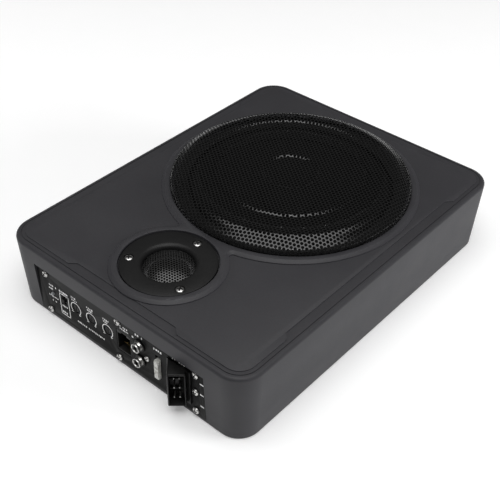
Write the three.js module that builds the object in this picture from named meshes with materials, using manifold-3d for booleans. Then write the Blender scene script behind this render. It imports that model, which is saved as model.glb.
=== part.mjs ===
// Powered under-seat car subwoofer: a flat moulded cabinet with a woofer under a pressed
// grille, a small tweeter beside it, and an amplifier with its control panel on the front.
// Millimetres, +Z up. The origin is the centre of the flat bottom. X runs across the
// cabinet, Y along it, and the control panel is on the -Y face.
import * as THREE from 'three';
import { mergeVertices } from 'three/addons/utils/BufferGeometryUtils.js';
import Module from 'manifold-3d';

const wasm = await Module();
wasm.setup();

// ---- Cabinet ----
const BODY_WIDTH = 264;
const BODY_LENGTH = 345;
const BODY_HEIGHT = 69.2;         // up to the flat deck
const CORNER_RADIUS = 22.7;
const EDGE_RADIUS = 5;            // rounding between the walls and the deck
const FOOT_ROUNDING = 1.5;
const DRAFT = 3.4;                // each wall leans in by this much at the bottom
const WALL = 4;
const DECK_THICKNESS = 4.5;
const RIM_STEP = 0.8;             // the deck stands this much above the rim round it
const RIM_INSET = 8;
const STRIP_INSET = 13;           // the long low strips in the middle of each side
const STRIP_CHAMFER = 6;
const SIDE_STRIP_HALF = 109;
const FRONT_STRIP_HALF = 54.5;
const PLATEAU_RISE = 2.5;         // the raised figure of eight round grille and tweeter
const PLATEAU_MARGIN = 8.3;
const PLATEAU_SHOULDER = 3.7;
const WAIST_FILLET = 2.5;
const BACK_MARGIN = 15.8;
const BRIDGE = 5.9;               // between the grille's edge and the tweeter's
const GAP = 0.3;                  // clearance between neighbouring pieces
const CUT_PAST = 5;               // how far a cutting tool runs past the face it cuts

// ---- Bottom cover and its screws ----
const COVER_THICKNESS = 2.5;
const BOSS_RADIUS = 5;
const BOSS_INSET = 18;
const COVER_SCREW_RADIUS = 1.5;
const COVER_SCREW_HEAD = 3.4;
const COVER_SCREW_LENGTH = 14;
const PILOT_CLEARANCE = 0.3;
const COVER_HEAD_RECESS = 1.7;     // the screw heads lie in the cover
const STANDOFF_RADIUS = 3;         // the pillars under the circuit board
const STANDOFF_INSET = 8;

// ---- Woofer ----
const GRILLE_RADIUS = 106.8;
const GRILLE_THICKNESS = 1.2;
const GRILLE_SEAT_DEPTH = 4;
const GRILLE_RISE = 11.9;         // the ridge of the grille above the plateau
const FLANGE_WIDTH = 10;
const BASKET_SHEET = 1.5;
const BASKET_DEPTH = 40.5;
const COIL_RADIUS = 13.7;
const COIL_WALL = 0.8;
const COIL_CLEARANCE = 0.9;       // between the coil and the top plate round it
const MAGNET_RADIUS = 50;
const MAGNET_THICKNESS = 12;
const POLE_PLATE_THICKNESS = 5;
const VENT_RADIUS = 4;
const WOOFER_SCREW_RADIUS = 1.6;
const WOOFER_SCREW_HEAD = 3.5;

// ---- Tweeter ----
const TWEETER_RADIUS = 40.7;
const TWEETER_RING_THICKNESS = 2.4;
const TWEETER_SEAT_DEPTH = 3.5;
const TWEETER_MOUTH = 21.4;
const TWEETER_TUBE_WALL = 5;
const TWEETER_LIP_WIDTH = 4;       // the slope from the ring's flat down into the mouth
const TWEETER_SCREW_HEAD = 3.7;
const TWEETER_SCREW_RADIUS = 1.8;
const TWEETER_HEAD_RECESS = 1.7;

// ---- Control panel ----
const PANEL_CENTRE_X = -2.2;
const PANEL_WIDTH = 191;
const PANEL_LOW = 3.4;
const PANEL_HIGH = 51.5;
const PANEL_SET_BACK = 3;         // behind the widest line of the front wall
const PANEL_THICKNESS = 1.3;
const FRAME_DEPTH = 4.6;          // the ledge that the plate is screwed to
const FRAME_BORDER = 7;
const PANEL_SCREW_RADIUS = 1.3;
const PANEL_SCREW_HEAD = 3;
const PANEL_SCREW_LENGTH = 6.3;
const PANEL_SCREWS = [
  [-86.6, 46.2], [-85.6, 7.9], [0, 47], [-0.9, 7.5], [84, 46.8], [83.7, 28.6], [83.8, 8.1],
];
const KNOB_PLACES = [-51.6, -32.8, -13.4];
const KNOB_HEIGHT = 28.5;
const KNOB_RADIUS = 3.5;
const KNOB_LENGTH = 7.9;
const POT_WIDTH = 11;
const POT_DEPTH = 10.5;
const SWITCH_X = -65.8;
const SWITCH_HEIGHT = 29.5;
const LEVER_SIZE = 3.6;
const LEVER_TRAVEL = 2.4;
const SWITCH_HALF_WIDTH = 4.8;
const SWITCH_DEPTH = 7;
const LED_X = -80.1;
const LED_HEIGHT = 28.2;
const LED_RADIUS = 1.5;
const REMOTE_X = 5.6;
const REMOTE_HEIGHT = 27.35;
const REMOTE_WIDTH = 15.8;
const REMOTE_TALL = 21.7;
const PHONO_X = 24.3;
const PHONO_HEIGHT = 29.4;
const PHONO_PITCH = 16;
const SLEEVE_RADIUS = 4.15;
const SLEEVE_WALL = 0.8;
const SLEEVE_REACH = 5.5;         // past the plate
const SLEEVE_ROOT = 4.5;          // behind it
const PHONO_SCREW = [32.1, 28.2];
const PHONO_SCREW_HEAD = 2.4;
const PHONO_COLLAR = 1.2;          // wall of the collar round each sleeve
const FUSE_X = 44;
const FUSE_LOW = 15.8;
const FUSE_TALL = 19;
const FUSE_WIDTH = 4.8;
const FUSE_REACH = 2.7;
const FUSE_BODY_DEPTH = 12.3;
const FUSE_HOLDER_WALL = 2.2;
const BLADE_LENGTH = 7.5;
const BLADE_THICKNESS = 0.8;
const BLADE_WIDTH = 5;
const PHONO_SIDE = 3.65;           // of the housing to the left of its collars
const PHONO_MARGIN = 0.25;         // of the housing beyond its collars
const WINDOW_MARGIN = 3.4;         // of the shell's window beyond the lamp and the power socket
const POWER_YAW = THREE.MathUtils.degToRad(42);
const POWER_FACE = [73.2, 9.75];  // centre of its mouth: x, and distance out from the plate
const POWER_FLANGE_LEFT = 17.2;    // from the middle of the mouth
const POWER_FLANGE_RIGHT = 6.2;
const POWER_NECK_INSET = 2.7;
const POWER_WIDTH = 14.3;
const POWER_LOW = 12.2;
const POWER_HIGH = 46.4;
const POWER_WALL = 1.2;
const POWER_MOUTH_DEPTH = 12.5;
const PIN_RADIUS = 0.7;
const PIN_PITCH = 4.2;
const PIN_ROW_PITCH = 10.2;

// ---- Amplifier ----
const BOARD_THICKNESS = 1.6;
const BOARD_HEIGHT = 8;
const BOARD_LENGTH = 186;
const BOARD_DEPTH = 72;

// ---- Levels and centres that follow from the sizes above ----
const RIM_Z = BODY_HEIGHT - RIM_STEP;
const CEILING_Z = BODY_HEIGHT - DECK_THICKNESS;
const PLATEAU_Z = BODY_HEIGHT + PLATEAU_RISE;
const GRILLE_SEAT_Z = PLATEAU_Z - GRILLE_SEAT_DEPTH;
const TWEETER_SEAT_Z = PLATEAU_Z - TWEETER_SEAT_DEPTH;
const WOOFER_Y = BODY_LENGTH / 2 - BACK_MARGIN - GRILLE_RADIUS - PLATEAU_MARGIN;
const TWEETER_Y = WOOFER_Y - GRILLE_RADIUS - BRIDGE - TWEETER_RADIUS;
const FLANGE_RADIUS = GRILLE_RADIUS - GRILLE_THICKNESS - 2;
const BASKET_RADIUS = FLANGE_RADIUS - FLANGE_WIDTH;
const PLATE_FRONT = -BODY_LENGTH / 2 + PANEL_SET_BACK;
const PLATE_BACK = PLATE_FRONT + PANEL_THICKNESS;
const LEDGE_Y = PLATE_BACK + GAP;
const BOARD_TOP = BOARD_HEIGHT + BOARD_THICKNESS;
const PARTS_FLOOR = BOARD_TOP + GAP;
const BEHIND_PLATE = PLATE_BACK + GAP;
const collarRadius = SLEEVE_RADIUS + PHONO_COLLAR;
const phonoHeights = [PHONO_HEIGHT + PHONO_PITCH / 2, PHONO_HEIGHT - PHONO_PITCH / 2];
const phonoTop = phonoHeights[0] + collarRadius + PHONO_MARGIN;
const powerFlange = { x0: POWER_FACE[0] - POWER_FLANGE_LEFT, x1: POWER_FACE[0] + POWER_FLANGE_RIGHT };
const powerNeck = {
  x0: powerFlange.x0 + POWER_NECK_INSET,
  x1: powerFlange.x1 - POWER_NECK_INSET,
  z0: POWER_LOW + 1.4,
  z1: POWER_HIGH - 1.4,
};

// ---- Finishes ----
const finish = (color, roughness, metalness) => (
  new THREE.MeshStandardMaterial({ color, roughness, metalness })
);
const shellPlastic = () => finish(0x3a3b3e, 0.7, 0);
const blackSteel = () => finish(0x141416, 0.45, 0.6);
const blackPlastic = () => finish(0x121213, 0.4, 0);
const brightMetal = () => finish(0xc8cacc, 0.22, 1);
const plainSteel = () => finish(0x8d9094, 0.4, 1);

// ---- Solids ----
function solidOf(geometry) {
  const plain = geometry.clone();
  plain.deleteAttribute('normal');
  plain.deleteAttribute('uv');
  const merged = mergeVertices(plain, 1e-4);
  const points = merged.attributes.position.array;
  const corners = merged.index.array;
  const faces = [];
  let volume = 0;
  const [a, b, c] = [new THREE.Vector3(), new THREE.Vector3(), new THREE.Vector3()];
  for (let i = 0; i < corners.length; i += 3) {
    const [p, q, r] = [corners[i], corners[i + 1], corners[i + 2]];
    if (p === q || q === r || r === p) continue;
    faces.push([p, q, r]);
    a.fromArray(points, 3 * p);
    b.fromArray(points, 3 * q);
    c.fromArray(points, 3 * r);
    volume += a.dot(b.cross(c));
  }
  const outward = volume < 0 ? faces.map(([p, q, r]) => [p, r, q]) : faces;
  const triVerts = new Uint32Array(outward.flat());
  const vertProperties = new Float32Array(points);
  return new wasm.Manifold(new wasm.Mesh({ numProp: 3, vertProperties, triVerts }));
}

function geometryOf(solid) {
  const mesh = solid.getMesh();
  const geometry = new THREE.BufferGeometry();
  geometry.setAttribute('position', new THREE.BufferAttribute(new Float32Array(mesh.vertProperties), 3));
  geometry.setIndex(new THREE.BufferAttribute(new Uint32Array(mesh.triVerts), 1));
  geometry.computeVertexNormals();
  return geometry;
}

const union = (first, ...rest) => rest.reduce((sum, next) => sum.add(next), first);
const cut = (first, ...rest) => rest.reduce((left, tool) => left.subtract(tool), first);

function block(x0, x1, y0, y1, z0, z1) {
  const box = new THREE.BoxGeometry(x1 - x0, y1 - y0, z1 - z0);
  box.translate((x0 + x1) / 2, (y0 + y1) / 2, (z0 + z1) / 2);
  return solidOf(box);
}

// A round rod along Z, or along Y for rodY.
function rod(radius, x, y, z0, z1, sides = 24) {
  const cylinder = new THREE.CylinderGeometry(radius, radius, z1 - z0, sides);
  cylinder.rotateX(Math.PI / 2);
  cylinder.translate(x, y, (z0 + z1) / 2);
  return solidOf(cylinder);
}

function rodY(radius, x, z, y0, y1, sides = 20) {
  const cylinder = new THREE.CylinderGeometry(radius, radius, y1 - y0, sides);
  cylinder.translate(x, (y0 + y1) / 2, z);
  return solidOf(cylinder);
}

// Turns a closed [radius, z] profile about the Z axis.
function turned(profile, sides = 30) {
  const closed = [...profile, profile[0]].map(([radius, z]) => new THREE.Vector2(radius, z));
  const lathe = new THREE.LatheGeometry(closed, sides);
  lathe.rotateX(Math.PI / 2);
  return solidOf(lathe);
}

// Joins rings of equally many points into one closed solid, bottom ring first.
function loft(rings) {
  const count = rings[0].length;
  const positions = rings.flat().flatMap((point) => [point.x, point.y, point.z]);
  const faces = [];
  for (let level = 0; level + 1 < rings.length; level++) {
    for (let i = 0; i < count; i++) {
      const [low, lowNext] = [level * count + i, level * count + (i + 1) % count];
      faces.push(low, lowNext, low + count, lowNext, lowNext + count, low + count);
    }
  }
  const top = (rings.length - 1) * count;
  const flat = (ring) => ring.map((point) => new THREE.Vector2(point.x, point.y));
  for (const [p, q, r] of THREE.ShapeUtils.triangulateShape(flat(rings[0]), [])) faces.push(r, q, p);
  for (const [p, q, r] of THREE.ShapeUtils.triangulateShape(flat(rings.at(-1)), [])) {
    faces.push(top + p, top + q, top + r);
  }
  const geometry = new THREE.BufferGeometry();
  geometry.setAttribute('position', new THREE.Float32BufferAttribute(positions, 3));
  geometry.setIndex(faces);
  return solidOf(geometry);
}

// ---- Outlines ----
// The cabinet's rounded rectangle, moved in by inset, at height z.
function bodyRing(inset, z, steps = 6) {
  const radius = CORNER_RADIUS - inset;
  const halfX = BODY_WIDTH / 2 - inset - radius;
  const halfY = BODY_LENGTH / 2 - inset - radius;
  const centres = [[halfX, -halfY, -90], [halfX, halfY, 0], [-halfX, halfY, 90], [-halfX, -halfY, 180]];
  return centres.flatMap(([x, y, start]) => Array.from({ length: steps + 1 }, (_, i) => {
    const angle = THREE.MathUtils.degToRad(start + 90 * i / steps);
    return new THREE.Vector3(x + radius * Math.cos(angle), y + radius * Math.sin(angle), z);
  }));
}

// The draft moves the wall in towards the bottom.
const wallInset = (z) => DRAFT * (1 - z / (RIM_Z - EDGE_RADIUS));

// The deck's outline: the cabinet's, with a long strip left low in the middle of each side.
function deckRing(z) {
  const halfX = BODY_WIDTH / 2;
  const halfY = BODY_LENGTH / 2;
  const corners = bodyRing(RIM_INSET, z, 6);
  const perCorner = corners.length / 4;
  const deep = STRIP_INSET;
  const near = RIM_INSET;
  const strips = [
    [[halfX - near, -SIDE_STRIP_HALF - STRIP_CHAMFER], [halfX - deep, -SIDE_STRIP_HALF],
      [halfX - deep, SIDE_STRIP_HALF], [halfX - near, SIDE_STRIP_HALF + STRIP_CHAMFER]],
    [[FRONT_STRIP_HALF + STRIP_CHAMFER, halfY - near], [FRONT_STRIP_HALF, halfY - deep],
      [-FRONT_STRIP_HALF, halfY - deep], [-FRONT_STRIP_HALF - STRIP_CHAMFER, halfY - near]],
  ];
  const turnedRound = strips.map((strip) => strip.map(([x, y]) => [-x, -y]));
  return [...strips, ...turnedRound].flatMap((strip, side) => [
    ...corners.slice(side * perCorner, (side + 1) * perCorner),
    ...strip.map(([x, y]) => new THREE.Vector3(x, y, z)),
  ]);
}

// The figure of eight: a circle round the grille and one round the tweeter, with a small
// fillet in each waist, all moved in by inset.
function plateauRing(inset, z) {
  const bigRadius = GRILLE_RADIUS + PLATEAU_MARGIN - inset;
  const smallRadius = TWEETER_RADIUS + PLATEAU_MARGIN - inset;
  const fillet = WAIST_FILLET + inset;
  const spacing = WOOFER_Y - TWEETER_Y;
  const [far, close] = [bigRadius + fillet, smallRadius + fillet];
  const along = (far * far - close * close + spacing * spacing) / (2 * spacing);
  const side = Math.sqrt(far * far - along * along);
  const waist = new THREE.Vector2(side, WOOFER_Y - along);
  const bigTouch = Math.atan2(waist.y - WOOFER_Y, waist.x);
  const smallTouch = Math.atan2(waist.y - TWEETER_Y, waist.x);
  const arc = (x, y, radius, from, to, steps) => Array.from({ length: steps }, (_, i) => {
    const angle = from + (to - from) * i / steps;
    return new THREE.Vector3(x + radius * Math.cos(angle), y + radius * Math.sin(angle), z);
  });
  return [
    ...arc(0, WOOFER_Y, bigRadius, bigTouch, Math.PI - bigTouch, 40),
    ...arc(-waist.x, waist.y, fillet, -bigTouch, -smallTouch, 3),
    ...arc(0, TWEETER_Y, smallRadius, Math.PI - smallTouch, 2 * Math.PI + smallTouch, 22),
    ...arc(waist.x, waist.y, fillet, Math.PI + smallTouch, Math.PI + bigTouch, 3),
  ];
}

// ---- The scene graph ----
const group = new THREE.Group();
const woofer = new THREE.Group();
const tweeter = new THREE.Group();
woofer.position.set(0, WOOFER_Y, GRILLE_SEAT_Z + GAP);
tweeter.position.set(0, TWEETER_Y, TWEETER_SEAT_Z + GAP);
group.add(woofer, tweeter);

function addPart(name, solid, material, parent = group) {
  const mesh = new THREE.Mesh(geometryOf(solid), material);
  mesh.name = name;
  parent.add(mesh);
}

// ---- Screws ----
// A pan head on a shank: the head stands on z = 0 and the shank runs down from it.
function panScrew(headRadius, shankRadius, length, headHeight) {
  return turned([
    [0, -length], [shankRadius, -length], [shankRadius, 0], [headRadius, 0],
    [headRadius, headHeight * 0.45], [headRadius * 0.75, headHeight * 0.85], [0, headHeight],
  ], 10);
}

function addScrew(name, solid, x, y, z, tilt = 0, parent = group) {
  const mesh = new THREE.Mesh(geometryOf(solid), brightMetal());
  mesh.name = name;
  mesh.rotation.x = tilt;
  mesh.position.set(x, y, z);
  parent.add(mesh);
}

const bossX = BODY_WIDTH / 2 - BOSS_INSET;
const bossY = BODY_LENGTH / 2 - BOSS_INSET;
const bosses = [[-bossX, -bossY], [bossX, -bossY], [-bossX, 0], [bossX, 0], [-bossX, bossY], [bossX, bossY]];
const wooferScrewCircle = (FLANGE_RADIUS + BASKET_RADIUS) / 2;
const circlePlaces = (radius, count, start) => Array.from({ length: count }, (_, i) => {
  const angle = THREE.MathUtils.degToRad(start + 360 * i / count);
  return [radius * Math.cos(angle), radius * Math.sin(angle)];
});
const wooferScrews = circlePlaces(wooferScrewCircle, 4, 45);
// The tweeter's screws stand in the middle of the ring's flat.
const tweeterScrewCircle = (TWEETER_MOUTH + TWEETER_LIP_WIDTH + TWEETER_RADIUS) / 2;
const tweeterScrews = circlePlaces(tweeterScrewCircle, 3, 90);

// ---- Cabinet ----
function outerBody() {
  const foot = bodyRing(wallInset(0) + FOOT_ROUNDING, 0);
  const rings = [foot, bodyRing(wallInset(FOOT_ROUNDING), FOOT_ROUNDING)];
  const steps = 5;
  for (let i = 0; i <= steps; i++) {
    const angle = Math.PI / 2 * i / steps;
    const z = RIM_Z - EDGE_RADIUS * (1 - Math.sin(angle));
    rings.push(bodyRing(EDGE_RADIUS * (1 - Math.cos(angle)), z));
  }
  const deck = loft([deckRing(RIM_Z - RIM_STEP), deckRing(BODY_HEIGHT)]);
  const plateau = loft([
    plateauRing(0, BODY_HEIGHT - RIM_STEP), plateauRing(0, BODY_HEIGHT + 0.05),
    plateauRing(PLATEAU_SHOULDER, PLATEAU_Z),
  ]);
  return union(loft(rings), deck, plateau);
}

// Openings behind the plate: one wide window, and a taller one behind the power socket.
function panelWindow() {
  const [near, far] = [PLATE_FRONT - CUT_PAST, LEDGE_Y + FRAME_DEPTH + CUT_PAST];
  const floor = PARTS_FLOOR - GAP;
  const wide = block(
    LED_X - WINDOW_MARGIN, powerNeck.x1 + WINDOW_MARGIN, near, far, floor, phonoTop + GAP,
  );
  const tall = block(powerNeck.x0 - 3 * GAP, powerNeck.x1 + 3 * GAP, near, far, floor, POWER_HIGH - GAP);
  return union(wide, tall);
}

function topShell() {
  const inner = loft([
    bodyRing(wallInset(0) + WALL, -CUT_PAST), bodyRing(wallInset(0) + WALL, 0),
    bodyRing(WALL, CEILING_Z),
  ]);
  const left = PANEL_CENTRE_X - PANEL_WIDTH / 2;
  const right = PANEL_CENTRE_X + PANEL_WIDTH / 2;
  const bossBottom = COVER_THICKNESS + GAP;
  const frameTop = PANEL_HIGH + FRAME_BORDER;
  const frame = block(
    left - FRAME_BORDER, right + FRAME_BORDER, LEDGE_Y, LEDGE_Y + FRAME_DEPTH, bossBottom, frameTop,
  );
  const posts = bosses.map(([x, y]) => rod(BOSS_RADIUS, x, y, bossBottom, CEILING_Z + 1, 16));
  const pocket = block(
    left - GAP, right + GAP, PLATE_FRONT - 4 * CUT_PAST, LEDGE_Y, PANEL_LOW - GAP, PANEL_HIGH + GAP,
  );
  const pilotTop = COVER_SCREW_LENGTH + 3;
  const pilots = bosses.map(([x, y]) => (
    rod(COVER_SCREW_RADIUS + PILOT_CLEARANCE, x, y, bossBottom - CUT_PAST, pilotTop, 12)
  ));
  const holes = [
    rod(GRILLE_RADIUS + 0.5, 0, WOOFER_Y, GRILLE_SEAT_Z, PLATEAU_Z + CUT_PAST, 48),
    rod(BASKET_RADIUS + 1, 0, WOOFER_Y, CEILING_Z - CUT_PAST, PLATEAU_Z, 48),
    rod(TWEETER_RADIUS + 0.4, 0, TWEETER_Y, TWEETER_SEAT_Z, PLATEAU_Z + CUT_PAST, 36),
    rod(TWEETER_MOUTH + TWEETER_TUBE_WALL + 1.2, 0, TWEETER_Y, CEILING_Z - CUT_PAST, PLATEAU_Z, 28),
  ];
  const wooferPilots = wooferScrews.map(([x, y]) => (
    rod(WOOFER_SCREW_RADIUS + PILOT_CLEARANCE, x, WOOFER_Y + y, CEILING_Z - CUT_PAST, PLATEAU_Z, 12)
  ));
  const tweeterPilots = tweeterScrews.map(([x, y]) => (
    rod(TWEETER_SCREW_RADIUS + PILOT_CLEARANCE, x, TWEETER_Y + y, CEILING_Z - CUT_PAST, PLATEAU_Z, 12)
  ));
  const ledgeBack = LEDGE_Y + FRAME_DEPTH;
  const panelPilots = PANEL_SCREWS.map(([x, z]) => (
    rodY(PANEL_SCREW_RADIUS + PILOT_CLEARANCE, x, z, PLATE_FRONT - CUT_PAST, ledgeBack + CUT_PAST, 12)
  ));
  const hollow = union(cut(outerBody(), inner), frame, ...posts);
  return cut(
    hollow, pocket, panelWindow(), ...holes, ...pilots, ...wooferPilots, ...tweeterPilots, ...panelPilots,
  );
}

function bottomCover() {
  const inset = wallInset(0) + WALL + 0.5;
  const boardFront = LEDGE_Y + FRAME_DEPTH + 1;
  const standoffX = BOARD_LENGTH / 2 - STANDOFF_INSET;
  const standoffRows = [boardFront + STANDOFF_INSET, boardFront + BOARD_DEPTH - STANDOFF_INSET];
  const standoffs = [-standoffX, standoffX].flatMap((x) => standoffRows.map((y) => (
    rod(STANDOFF_RADIUS, x, y, COVER_THICKNESS / 2, BOARD_HEIGHT - GAP, 12)
  )));
  const plate = union(loft([bodyRing(inset, 0), bodyRing(inset, COVER_THICKNESS)]), ...standoffs);
  const headRoom = bosses.map(([x, y]) => (
    rod(COVER_SCREW_HEAD + GAP, x, y, -CUT_PAST, COVER_HEAD_RECESS, 16)
  ));
  const shanks = bosses.map(([x, y]) => (
    rod(COVER_SCREW_RADIUS + GAP, x, y, -CUT_PAST, COVER_THICKNESS + CUT_PAST, 12)
  ));
  return cut(plate, ...headRoom, ...shanks);
}

addPart('top_shell', topShell(), shellPlastic());
addPart('bottom_cover', bottomCover(), finish(0x1c1c1e, 0.6, 0.3));
const coverScrew = panScrew(COVER_SCREW_HEAD, COVER_SCREW_RADIUS, COVER_SCREW_LENGTH, 1.2);
bosses.forEach(([x, y], i) => (
  addScrew(`bottom_screw_${i + 1}`, coverScrew, x, y, COVER_HEAD_RECESS - GAP, Math.PI)
));

// ---- Woofer, measured from the underside of its flange ----
function grille() {
  const r = GRILLE_RADIUS;
  const top = GRILLE_SEAT_DEPTH - GAP + GRILLE_RISE;
  const t = GRILLE_THICKNESS;
  const outer = [
    [r, 0], [r, top - 8], [r - 1.6, top - 6.2], [r - 4, top - 4.9], [r - 9, top - 2], [r - 13, top - 0.4],
    [r - 15.8, top], [r - 18.6, top - 0.4], [r - 24, top - 1.5], [r - 24.8, top - 2.6], [r - 40, top - 2.8],
    [r - 41.2, top - 1.9], [24.8, top - 2.4], [23.8, top - 3.4], [0, top - 3.4],
  ];
  const inner = [
    [0, top - 3.4 - t], [23.4, top - 3.4 - t], [24.6, top - 2.4 - t], [r - 41.6, top - 2 - t],
    [r - 40, top - 2.9 - t], [r - 24.4, top - 2.7 - t], [r - 15.8, top - t], [r - 9.8, top - 3.2],
    [r - 4.7, top - 6], [r - t, top - 8.6], [r - t, 0],
  ];
  return turned([...outer, ...inner], 36);
}

const surroundInner = BASKET_RADIUS - 14;
const shelfZ = -6;
const basketFloor = -BASKET_DEPTH;
const spiderRadius = MAGNET_RADIUS - 1;
const spiderZ = basketFloor + 11;

function basket() {
  const s = BASKET_SHEET;
  const shape = turned([
    [FLANGE_RADIUS, 0], [FLANGE_RADIUS, s], [BASKET_RADIUS - s, s], [BASKET_RADIUS - s, shelfZ + s],
    [BASKET_RADIUS - 8, shelfZ + s], [spiderRadius + 3, spiderZ - GAP], [spiderRadius - 7, spiderZ - GAP],
    [spiderRadius - 7, basketFloor + s], [COIL_RADIUS + 6, basketFloor + s], [COIL_RADIUS + 6, basketFloor],
    [spiderRadius - 7 + s, basketFloor], [spiderRadius - 7 + s, spiderZ - GAP - s],
    [spiderRadius + 4, spiderZ - GAP - s],
    [BASKET_RADIUS - 7, shelfZ], [BASKET_RADIUS, shelfZ], [BASKET_RADIUS, 0],
  ]);
  const windows = circlePlaces(1, 4, 0).map(([x, y]) => {
    const opening = new THREE.BoxGeometry(26, 32, 16);
    opening.translate(0, 0, (shelfZ + spiderZ) / 2);
    opening.rotateZ(Math.atan2(y, x));
    const reach = (BASKET_RADIUS + spiderRadius) / 2;
    opening.translate(reach * x, reach * y, 0);
    return solidOf(opening);
  });
  const holes = wooferScrews.map(([x, y]) => rod(WOOFER_SCREW_RADIUS + GAP, x, y, -CUT_PAST, CUT_PAST, 12));
  return cut(shape, ...windows, ...holes);
}

const neckZ = spiderZ + 5;
const coneRimZ = shelfZ + 4;

function surround() {
  const rollCentre = (surroundInner + BASKET_RADIUS - 4) / 2;
  const roll = (BASKET_RADIUS - 4 - surroundInner) / 2;
  const arc = (radius, from, to, steps) => Array.from({ length: steps + 1 }, (_, i) => {
    const angle = THREE.MathUtils.degToRad(from + (to - from) * i / steps);
    return [rollCentre + radius * Math.cos(angle), shelfZ + 3 + radius * Math.sin(angle)];
  });
  const outerLip = BASKET_RADIUS - BASKET_SHEET - GAP;
  const lipZ = shelfZ + BASKET_SHEET + GAP;
  return turned([
    [outerLip, lipZ], [outerLip, lipZ + 1], ...arc(roll + 0.4, 5, 160, 4),
    [surroundInner - 4, coneRimZ + 0.9], [surroundInner - 4, coneRimZ + GAP],
    [surroundInner + 0.6, coneRimZ + GAP], ...arc(roll - 0.5, 160, 5, 3), [BASKET_RADIUS - 5.6, lipZ],
  ]);
}

function cone() {
  return turned([
    [COIL_RADIUS + GAP, neckZ], [surroundInner, coneRimZ - 1.3], [surroundInner, coneRimZ],
    [surroundInner - 2, coneRimZ], [COIL_RADIUS + GAP, neckZ + 1.6],
  ]);
}

function dustCap() {
  const radius = COIL_RADIUS + 11;
  const slope = (coneRimZ - neckZ) / (surroundInner - COIL_RADIUS);
  const seat = neckZ + 1.6 + slope * (radius - COIL_RADIUS) + 0.9;
  const rise = 6;
  const dome = (drop) => Array.from({ length: 6 }, (_, i) => {
    const angle = Math.PI / 2 * i / 5;
    return [(radius - drop) * Math.sin(angle), seat + (rise - drop) * Math.cos(angle)];
  });
  return turned([...dome(0), ...dome(1).reverse()], 18);
}

function spider() {
  const inner = COIL_RADIUS + GAP;
  const waves = 4;
  const steps = waves * 2;
  const edge = (lift) => Array.from({ length: steps + 1 }, (_, i) => {
    const share = i / steps;
    const radius = inner + (spiderRadius - inner) * share;
    return [radius, spiderZ + 1 + lift + 0.9 * Math.cos(2 * Math.PI * waves * share)];
  });
  return turned([...edge(0), ...edge(0.8).reverse()], 20);
}

const ringPart = (inner, outer, z0, z1, sides = 24) => (
  turned([[inner, z0], [outer, z0], [outer, z1], [inner, z1]], sides)
);
const platesTop = basketFloor - GAP;
const magnetTop = platesTop - POLE_PLATE_THICKNESS - GAP;
const yokeTop = magnetTop - MAGNET_THICKNESS - GAP;
const poleRadius = COIL_RADIUS - COIL_WALL - 0.6;

function yoke() {
  return turned([
    [VENT_RADIUS, yokeTop - POLE_PLATE_THICKNESS], [MAGNET_RADIUS - 4, yokeTop - POLE_PLATE_THICKNESS],
    [MAGNET_RADIUS - 2, yokeTop - POLE_PLATE_THICKNESS + 2], [MAGNET_RADIUS - 2, yokeTop],
    [poleRadius, yokeTop], [poleRadius, platesTop], [VENT_RADIUS, platesTop],
  ], 24);
}

addPart('woofer_grille', grille(), blackSteel(), woofer);
addPart('woofer_basket', basket(), blackSteel(), woofer);
addPart('surround', surround(), finish(0x161616, 0.8, 0), woofer);
addPart('cone', cone(), finish(0x1a1a1b, 0.8, 0), woofer);
addPart('dust_cap', dustCap(), finish(0x151516, 0.6, 0), woofer);
addPart('spider', spider(), finish(0xb08a45, 0.9, 0), woofer);
const coilBottom = platesTop - POLE_PLATE_THICKNESS - 2;
addPart('voice_coil', ringPart(COIL_RADIUS - COIL_WALL, COIL_RADIUS, coilBottom, neckZ + 1, 32),
  finish(0xa8692f, 0.5, 0.5), woofer);
const topPlate = ringPart(
  COIL_RADIUS + COIL_CLEARANCE, MAGNET_RADIUS - 2, platesTop - POLE_PLATE_THICKNESS, platesTop,
);
addPart('top_plate', topPlate, plainSteel(), woofer);
addPart('magnet', ringPart(COIL_RADIUS + 11, MAGNET_RADIUS, magnetTop - MAGNET_THICKNESS, magnetTop),
  finish(0x2a2a2c, 0.6, 0.2), woofer);
addPart('t_yoke', yoke(), plainSteel(), woofer);
const wooferScrew = panScrew(WOOFER_SCREW_HEAD, WOOFER_SCREW_RADIUS, 10, 2.2);
wooferScrews.forEach(([x, y], i) => (
  addScrew(`woofer_screw_${i + 1}`, wooferScrew, x, y, BASKET_SHEET + GAP, 0, woofer)
));

// ---- Tweeter, measured from the underside of its ring ----
const ringTop = TWEETER_RING_THICKNESS;
const tubeRadius = TWEETER_MOUTH + TWEETER_TUBE_WALL;
const tubeBottom = -9.7;

function trimRing() {
  const mouth = TWEETER_MOUTH;
  const shape = turned([
    [TWEETER_RADIUS, 0], [TWEETER_RADIUS, ringTop - 0.3], [TWEETER_RADIUS - 0.4, ringTop],
    [mouth + TWEETER_LIP_WIDTH, ringTop], [mouth + 2.2, ringTop - 0.6], [mouth + 0.8, ringTop - 1.9],
    [mouth, ringTop - 3.8],
    [mouth, tubeBottom], [tubeRadius, tubeBottom], [tubeRadius, 0],
  ]);
  const holes = tweeterScrews.map(([x, y]) => rod(TWEETER_SCREW_RADIUS + GAP, x, y, -CUT_PAST, CUT_PAST, 12));
  const recesses = tweeterScrews.map(([x, y]) => (
    rod(TWEETER_SCREW_HEAD + GAP, x, y, ringTop - TWEETER_HEAD_RECESS, ringTop + CUT_PAST, 16)
  ));
  return cut(shape, ...holes, ...recesses);
}

function tweeterMesh() {
  const radius = TWEETER_MOUTH - GAP;
  const low = -1.6;
  const rise = 5;
  const dome = (drop) => Array.from({ length: 6 }, (_, i) => {
    const share = i / 5;
    return [(radius - drop) * share, low + drop * 0.2 + (rise - drop) * (1 - share * share)];
  });
  return turned([...dome(0), ...dome(0.7).reverse()], 20);
}

const domeRadius = 12.9;
const domeZ = -7;

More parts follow.
